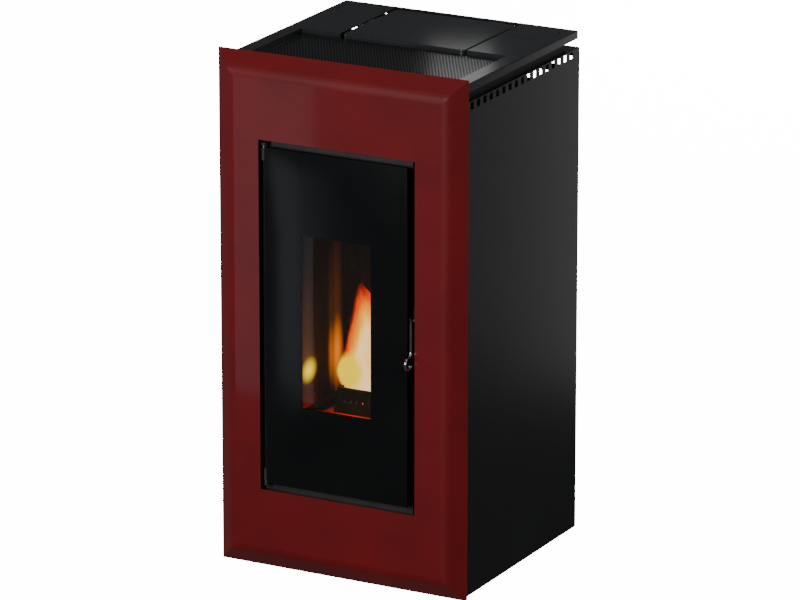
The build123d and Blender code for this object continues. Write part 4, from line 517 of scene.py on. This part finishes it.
def ceramic_door_glass():
    """Slab with a ground edge; the print leaves a clear window."""
    glass = box_piece("ceramic_door_glass", at(-GLASS["x"], GLASS["front"], GLASS["low"]),
                      at(GLASS["x"], GLASS["back"], GLASS["high"]))
    front = at(0, GLASS["front"], 0).y
    pick(glass, lambda a, b: abs(a.y - front) < 1e-5 and abs(b.y - front) < 1e-5, "edges")
    bpy.ops.mesh.bevel(offset=0.0009, segments=3, affect="EDGES")
    for point, normal in (
        (at(-WINDOW["x"], 0, 0), (1, 0, 0)), (at(WINDOW["x"], 0, 0), (1, 0, 0)),
        (at(0, 0, WINDOW["low"]), (0, 0, 1)), (at(0, 0, WINDOW["high"]), (0, 0, 1)),
    ):
        bpy.ops.mesh.select_all(action="SELECT")
        bpy.ops.mesh.bisect(plane_co=point, plane_no=normal)
    close_piece(glass, "door", None, 20, ("door_glass",))
    for finish in (black_glass, window_glass):
        glass.data.materials.append(finish)
    for face in glass.data.polygons:
        c = face.center
        inside = abs(c.x) < WINDOW["x"] * MM and WINDOW["low"] * MM < c.z < WINDOW["high"] * MM
        face.material_index = 1 if inside and abs(face.normal.y) > 0.9 else 0
    return glass


ceramic_door_glass()


# ---------------------------------------------------------------- fire
def flame_tongue(name, rings, finish):
    """Closed tongue: a ring drawn up through (height, x, y, half width, half depth) steps."""
    nothing_selected()
    height, x, y, wide, deep = rings[0]
    bpy.ops.mesh.primitive_circle_add(vertices=14, radius=1, fill_type="NGON", location=(0, 0, 0))
    made = begin(name)
    bpy.ops.object.mode_set(mode="EDIT")
    bpy.ops.mesh.select_all(action="SELECT")
    bpy.ops.transform.resize(value=(wide * MM, deep * MM, 1))
    bpy.ops.transform.translate(value=tuple(at(x, y, height)))
    last = rings[0]
    for ring in rings[1:]:
        bpy.ops.mesh.extrude_region_move(
            TRANSFORM_OT_translate={"value": tuple(at(*ring[1:3], ring[0]) - at(*last[1:3], last[0]))})
        centre = at(ring[1], ring[2], ring[0])
        bpy.ops.transform.resize(value=(ring[3] / last[3], ring[4] / last[4], 1), center_override=centre)
        last = ring
    bpy.ops.mesh.select_all(action="SELECT")
    bpy.ops.mesh.normals_make_consistent(inside=False)
    bpy.ops.object.mode_set(mode="OBJECT")
    apply_modifier(made, "SUBSURF", levels=2, render_levels=2)
    close_piece(made, "burn_pot", finish, 60)
    return made


fire_gas = flame_gas()

MAIN_FLAME = [
    (322, 0, 90, 36, 20), (336, -1, 89, 44, 25), (350, -6, 88, 53, 28), (366, -8, 88, 57, 29),
    (384, -5, 88, 51, 27), (402, -1, 88, 44, 24), (425, 4, 88, 43, 22), (450, 7, 88, 41, 20),
    (475, 6, 88, 36, 17), (500, 1, 87, 24, 12), (518, -6, 86, 12, 7), (530, -12, 86, 5, 3),
    (537, -13, 86, 1, 1),
]
SIDE_FLAME = [
    (342, 26, 96, 16, 12), (372, 30, 96, 21, 13), (410, 30, 96, 19, 11), (450, 26, 96, 14, 8),
    (482, 18, 95, 8, 5), (500, 14, 95, 1.4, 1.4),
]
flame_tongue("flame_main", MAIN_FLAME, fire_gas)
flame_tongue("flame_side", SIDE_FLAME, fire_gas)


PELLET_COUNT = 46
PELLET_RADIUS = 0.003
PELLET_LENGTH = 0.014
BED_HALF = 17
BED_Y = 92.5
BED_Z = 290


def pellet_bed():
    """Short pressed cylinders tipped at random over the pot's grate."""
    random.seed(7)
    nothing_selected()
    bpy.ops.mesh.primitive_cylinder_add(
        vertices=10, radius=PELLET_RADIUS, depth=PELLET_LENGTH, location=(0, 0, 0))
    bed = begin("burning_pellets")
    bpy.ops.object.mode_set(mode="EDIT")
    bpy.ops.mesh.select_all(action="SELECT")
    bpy.ops.mesh.bevel(offset=0.0004, segments=1, affect="EDGES")
    bpy.ops.object.mode_set(mode="OBJECT")
    seed = bed.data.copy()
    total = bmesh.new()
    for i in range(PELLET_COUNT):
        copy = seed.copy()
        angles = (random.uniform(1.1, 2.0), random.uniform(-0.5, 0.5), random.uniform(0, 6.28))
        x = random.uniform(-BED_HALF, BED_HALF)
        y = BED_Y + random.uniform(-BED_HALF, BED_HALF)
        z = BED_Z + (i % 3) * 6 + random.uniform(0, 3)
        copy.transform(Matrix.Translation(at(x, y, z)) @ Euler(angles).to_matrix().to_4x4())
        total.from_mesh(copy)
        bpy.data.meshes.remove(copy)
    total.to_mesh(bed.data)
    total.free()
    bpy.data.meshes.remove(seed)
    return close_piece(bed, "burn_pot", glowing_pellets(), 40)


pellet_bed()


# ---------------------------------------------------------------- seals
def ring_about(name, low, high, axis, wide):
    """Frame of a given width between two corners, left in edit mode."""
    made = box_piece(name, low, high)
    pick(made, lambda c, n: abs(n[axis]) > 0.9)
    bpy.ops.mesh.inset(thickness=wide)
    bpy.ops.mesh.bridge_edge_loops()
    return made


def pick_corners(made, low, high, inset):
    """Selects the edges along y at the corners that lie an inset inside the ring's outside."""
    middle = (low + high) / 2
    half = (high - low) / 2 - Vector((inset, 0, inset))

    def corner(a, b):
        upright = abs(a.x - b.x) < 1e-5 and abs(a.z - b.z) < 1e-5 and abs(a.y - b.y) > (high.y - low.y) / 2
        return upright and all(abs(abs(a[i] - middle[i]) - half[i]) < 1e-5 for i in (0, 2))

    pick(made, corner, "edges")


def door_rope():
    """Glass-fibre rope in the door's channel, bent round four corners."""
    low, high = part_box("door_gasket")
    deep = high.y - low.y
    made = ring_about("door_rope", low, high, 1, deep)
    for inset, bend in ((0, 2.2), (deep, 1.2)):
        pick_corners(made, low, high, inset)
        bpy.ops.mesh.bevel(offset=deep * bend, segments=6, affect="EDGES")
    bpy.ops.object.mode_set(mode="OBJECT")
    apply_modifier(made, "BEVEL", width=deep * 0.42, segments=4, limit_method="ANGLE",
                   angle_limit=math.radians(60))
    close_piece(made, "door", rope, 60, ("door_gasket",))


def lid_sponge():
    """Self-adhesive sponge strip round the underside of the lid."""
    low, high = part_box("lid_gasket")
    made = ring_about("lid_sponge", low, high, 2, 0.006)
    bpy.ops.object.mode_set(mode="OBJECT")
    apply_modifier(made, "BEVEL", width=0.0012, segments=3, limit_method="ANGLE",
                   angle_limit=math.radians(60))
    close_piece(made, "lid", rubber, 50, ("lid_gasket",))


door_rope()
lid_sponge()


# ---------------------------------------------------------------- top grille
GRILLE_PITCH = 0.0062
GRILLE_HOLE = 0.0020
GRILLE_SHEET = 0.0012
GRILLE_MARGIN = 0.010


def repeat(made, count, step):
    apply_modifier(made, "ARRAY", count=count, use_relative_offset=False, use_constant_offset=True,
                   constant_offset_displace=step, use_merge_vertices=True, merge_threshold=0.0001)


def perforated_grille():
    """Punched sheet: 4 mm holes 6.2 mm apart in staggered rows inside a plain border."""
    low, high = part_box("top_grille")
    row = GRILLE_PITCH * math.sin(math.radians(60))
    cell = GRILLE_PITCH / math.sqrt(3)
    columns = int((high.x - low.x - 2 * GRILLE_MARGIN) / GRILLE_PITCH)
    rows = int((high.y - low.y - 2 * GRILLE_MARGIN) / row / 2) * 2
    nothing_selected()
    bpy.ops.mesh.primitive_circle_add(vertices=6, radius=cell, fill_type="NGON", location=(0, 0, 0))
    field = begin("perforated_field")
    bpy.ops.object.mode_set(mode="EDIT")
    bpy.ops.mesh.select_all(action="SELECT")
    bpy.ops.mesh.inset(thickness=(cell - GRILLE_HOLE) * math.cos(math.radians(30)), use_boundary=True)
    bpy.ops.mesh.delete(type="FACE")
    bpy.ops.object.mode_set(mode="OBJECT")
    repeat(field, 2, (GRILLE_PITCH / 2, row, 0))
    repeat(field, columns, (GRILLE_PITCH, 0, 0))
    repeat(field, rows // 2, (0, 2 * row, 0))
    bpy.ops.object.mode_set(mode="EDIT")
    bpy.ops.mesh.select_all(action="SELECT")
    bpy.ops.mesh.remove_doubles(threshold=0.0002)
    wide = (columns - 0.5) * GRILLE_PITCH
    deep = (rows - 1) * row
    centre = (low + high) / 2
    bpy.ops.transform.translate(value=(centre.x - wide / 2, centre.y - deep / 2, high.z))
    bpy.ops.mesh.select_all(action="SELECT")
    bpy.ops.mesh.extrude_region_move(TRANSFORM_OT_translate={"value": (0, 0, -GRILLE_SHEET)})
    close_piece(field, "cabinet", grille_black, 35, ("top_grille",))
    nothing_selected()
    border = box_piece("grille_border", low, Vector((high.x, high.y, high.z - 0.0001)))
    pick(border, lambda c, n: abs(n.z) > 0.9)
    bpy.ops.mesh.inset(thickness=GRILLE_MARGIN + 0.0015)
    bpy.ops.mesh.bridge_edge_loops()
    close_piece(border, "cabinet", grille_black, 35)


perforated_grille()


# ---------------------------------------------------------------- rails under the cover
RAIL_WIDTH = 0.020
RAIL_HOLLOW = 0.017
RAIL_SHEET = 0.0015
RAIL_STOPS_SHORT = 0.040


def cover_rails():
    """Folded rails that carry the cover along both sides, open towards the middle."""
    low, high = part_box("cover_brackets")
    rail = box_piece("cover_rails", Vector((high.x - RAIL_WIDTH, low.y, low.z)),
                     Vector((high.x, high.y - RAIL_STOPS_SHORT, high.z)))
    pick(rail, lambda c, n: n.x < -0.9)
    bpy.ops.mesh.inset(thickness=RAIL_SHEET)
    bpy.ops.mesh.extrude_region_move(TRANSFORM_OT_translate={"value": (RAIL_HOLLOW, 0, 0)})
    bpy.ops.object.mode_set(mode="OBJECT")
    apply_modifier(rail, "MIRROR", use_mirror_merge=False)
    close_piece(rail, "cabinet", rail_black_painted_shade, 30, ("cover_brackets",))


cover_rails()


# ---------------------------------------------------------------- studio
def studio():
    """Plain white floor: it gives off the light of a lit studio sweep, and keeps a soft shadow."""
    nothing_selected()
    bpy.ops.mesh.primitive_plane_add(size=30, location=(0, 0, 0))
    floor = begin("studio_floor")
    mat, tree = new_material("matt_white_studio_floor")
    speck = noise(tree, 300, 2)
    shader = add(tree, "ShaderNodeBsdfPrincipled", {
        "Base Color": ramp(tree, speck, [(0.3, "f4f4f4"), (0.7, "fafafa")]), "Roughness": 0.9,
        "Specular IOR Level": 0.1, "Emission Color": linear("ffffff"), "Emission Strength": 15.0})
    finish_material(tree, shader.outputs[0])
    mat.cycles.emission_sampling = "NONE"
    floor.data.materials.append(mat)
    floor.visible_glossy = False
    floor.visible_diffuse = False
    floor.visible_transmission = False


def soft_light(name, location, target, size, power, colour="ffffff"):
    data = bpy.data.lights.new(name, "AREA")
    data.shape = "RECTANGLE"
    data.size, data.size_y = size
    data.energy = power
    data.color = linear(colour)[:3]
    lamp = bpy.data.objects.new(name, data)
    bpy.context.scene.collection.objects.link(lamp)
    lamp.location = location
    aim = Vector(target) - Vector(location)
    lamp.rotation_euler = aim.to_track_quat("-Z", "Y").to_euler()
    lamp.visible_camera = False
    return lamp


def reflection_card(name, low, high, colour, strength):
    """Lit card that only glossy surfaces see, upright and facing the stove's front."""
    nothing_selected()
    bpy.ops.mesh.primitive_plane_add(size=1, location=(0, 0, 0))
    card = begin(name)
    bpy.ops.object.mode_set(mode="EDIT")
    bpy.ops.mesh.select_all(action="SELECT")
    (x0, y, z0), (x1, _, z1) = low, high
    bpy.ops.transform.resize(value=(x1 - x0, z1 - z0, 1))
    bm = bmesh.from_edit_mesh(card.data)
    for vert in bm.verts:
        vert.co = ((x0 + x1) / 2 + vert.co.x, y, (z0 + z1) / 2 + vert.co.y)
    bmesh.update_edit_mesh(card.data)
    bpy.ops.object.mode_set(mode="OBJECT")
    mat, tree = new_material(name + "_fabric")
    glow = add(tree, "ShaderNodeEmission", {"Color": linear(colour), "Strength": strength})
    finish_material(tree, glow.outputs[0])
    mat.cycles.emission_sampling = "NONE"
    card.data.materials.append(mat)
    for ray in ("camera", "diffuse", "transmission", "shadow", "volume_scatter"):
        setattr(card, "visible_" + ray, False)


def fire_light(name, spot, power, radius, colour):
    data = bpy.data.lights.new(name, "POINT")
    data.energy = power
    data.shadow_soft_size = radius
    data.color = linear(colour)[:3]
    lamp = bpy.data.objects.new(name, data)
    bpy.context.scene.collection.objects.link(lamp)
    lamp.location = spot
    lamp.visible_camera = False
    lamp.visible_transmission = False
    lamp.visible_glossy = False
    return lamp


def surroundings(strength):
    world = bpy.data.worlds.new("studio_room")
    world.use_nodes = True
    tree = world.node_tree
    tree.nodes.clear()
    background = add(tree, "ShaderNodeBackground", {"Color": linear("f4f5f7"), "Strength": strength})
    add(tree, "ShaderNodeOutputWorld", {"Surface": background.outputs[0]})
    bpy.context.scene.world = world


studio()
surroundings(0.085)
MIDDLE = (0, 0, 0.5)
COVER_CORNER = (0.22, -0.19, 0.93)
SOFTBOXES = (  # name, place, target, size, watts
    ("key_softbox", (0.1, -4.6, 1.9), MIDDLE, (1.6, 1.6), 180),
    ("fill_softbox", (3.6, -1.2, 1.8), MIDDLE, (1.6, 1.6), 20),
    ("rear_softbox", (0.46, 0.80, 0.52), (0.235, 0.1, 0.5), (0.2, 0.9), 0.46),
    ("top_softbox", (0.6, -0.6, 3.6), (0, 0, 0.6), (2.0, 2.0), 14),
    ("cover_softbox", (-0.005, 0.23, 1.075), COVER_CORNER, (0.11, 0.11), 0.055),
    ("back_softbox", (-0.3, 4.6, 0.9), MIDDLE, (1.6, 1.6), 90),
    ("left_softbox", (-3.4, -2.2, 1.6), MIDDLE, (1.6, 1.6), 45),
)
for softbox in SOFTBOXES:
    soft_light(*softbox)
reflection_card("left_strip_softbox", (-0.80, -1.083, 0.02), (-0.512, -1.083, 0.66), "eef2ff", 0.50)
reflection_card("soft_spill_card", (-0.512, -1.084, 0.10), (-0.36, -1.084, 0.66), "dfe8ff", 0.09)
fire_light("fire_glow", at(-6, 76, 400), 0.28, 0.03, "ff9a3a")

# The camera stands where the edges in the photograph meet its vanishing points: far off,
# with a long lens, 28 degrees round to the right and 17 degrees up.
sight = Vector((-0.45150, 0.84217, -0.29477)).normalized()
right = sight.cross(Vector((0, 0, 1))).normalized()
up = right.cross(sight)
lens = bpy.data.cameras.new("photo_camera")
lens.sensor_width = 36.0
lens.lens = 260.58
lens.clip_end = 100.0
camera = bpy.data.objects.new("photo_camera", lens)
bpy.context.scene.collection.objects.link(camera)
facing = Matrix((right, up, -sight)).transposed().to_4x4()
camera.matrix_world = Matrix.Translation((4.6246, -8.6337, 3.4866)) @ facing
bpy.context.scene.camera = camera
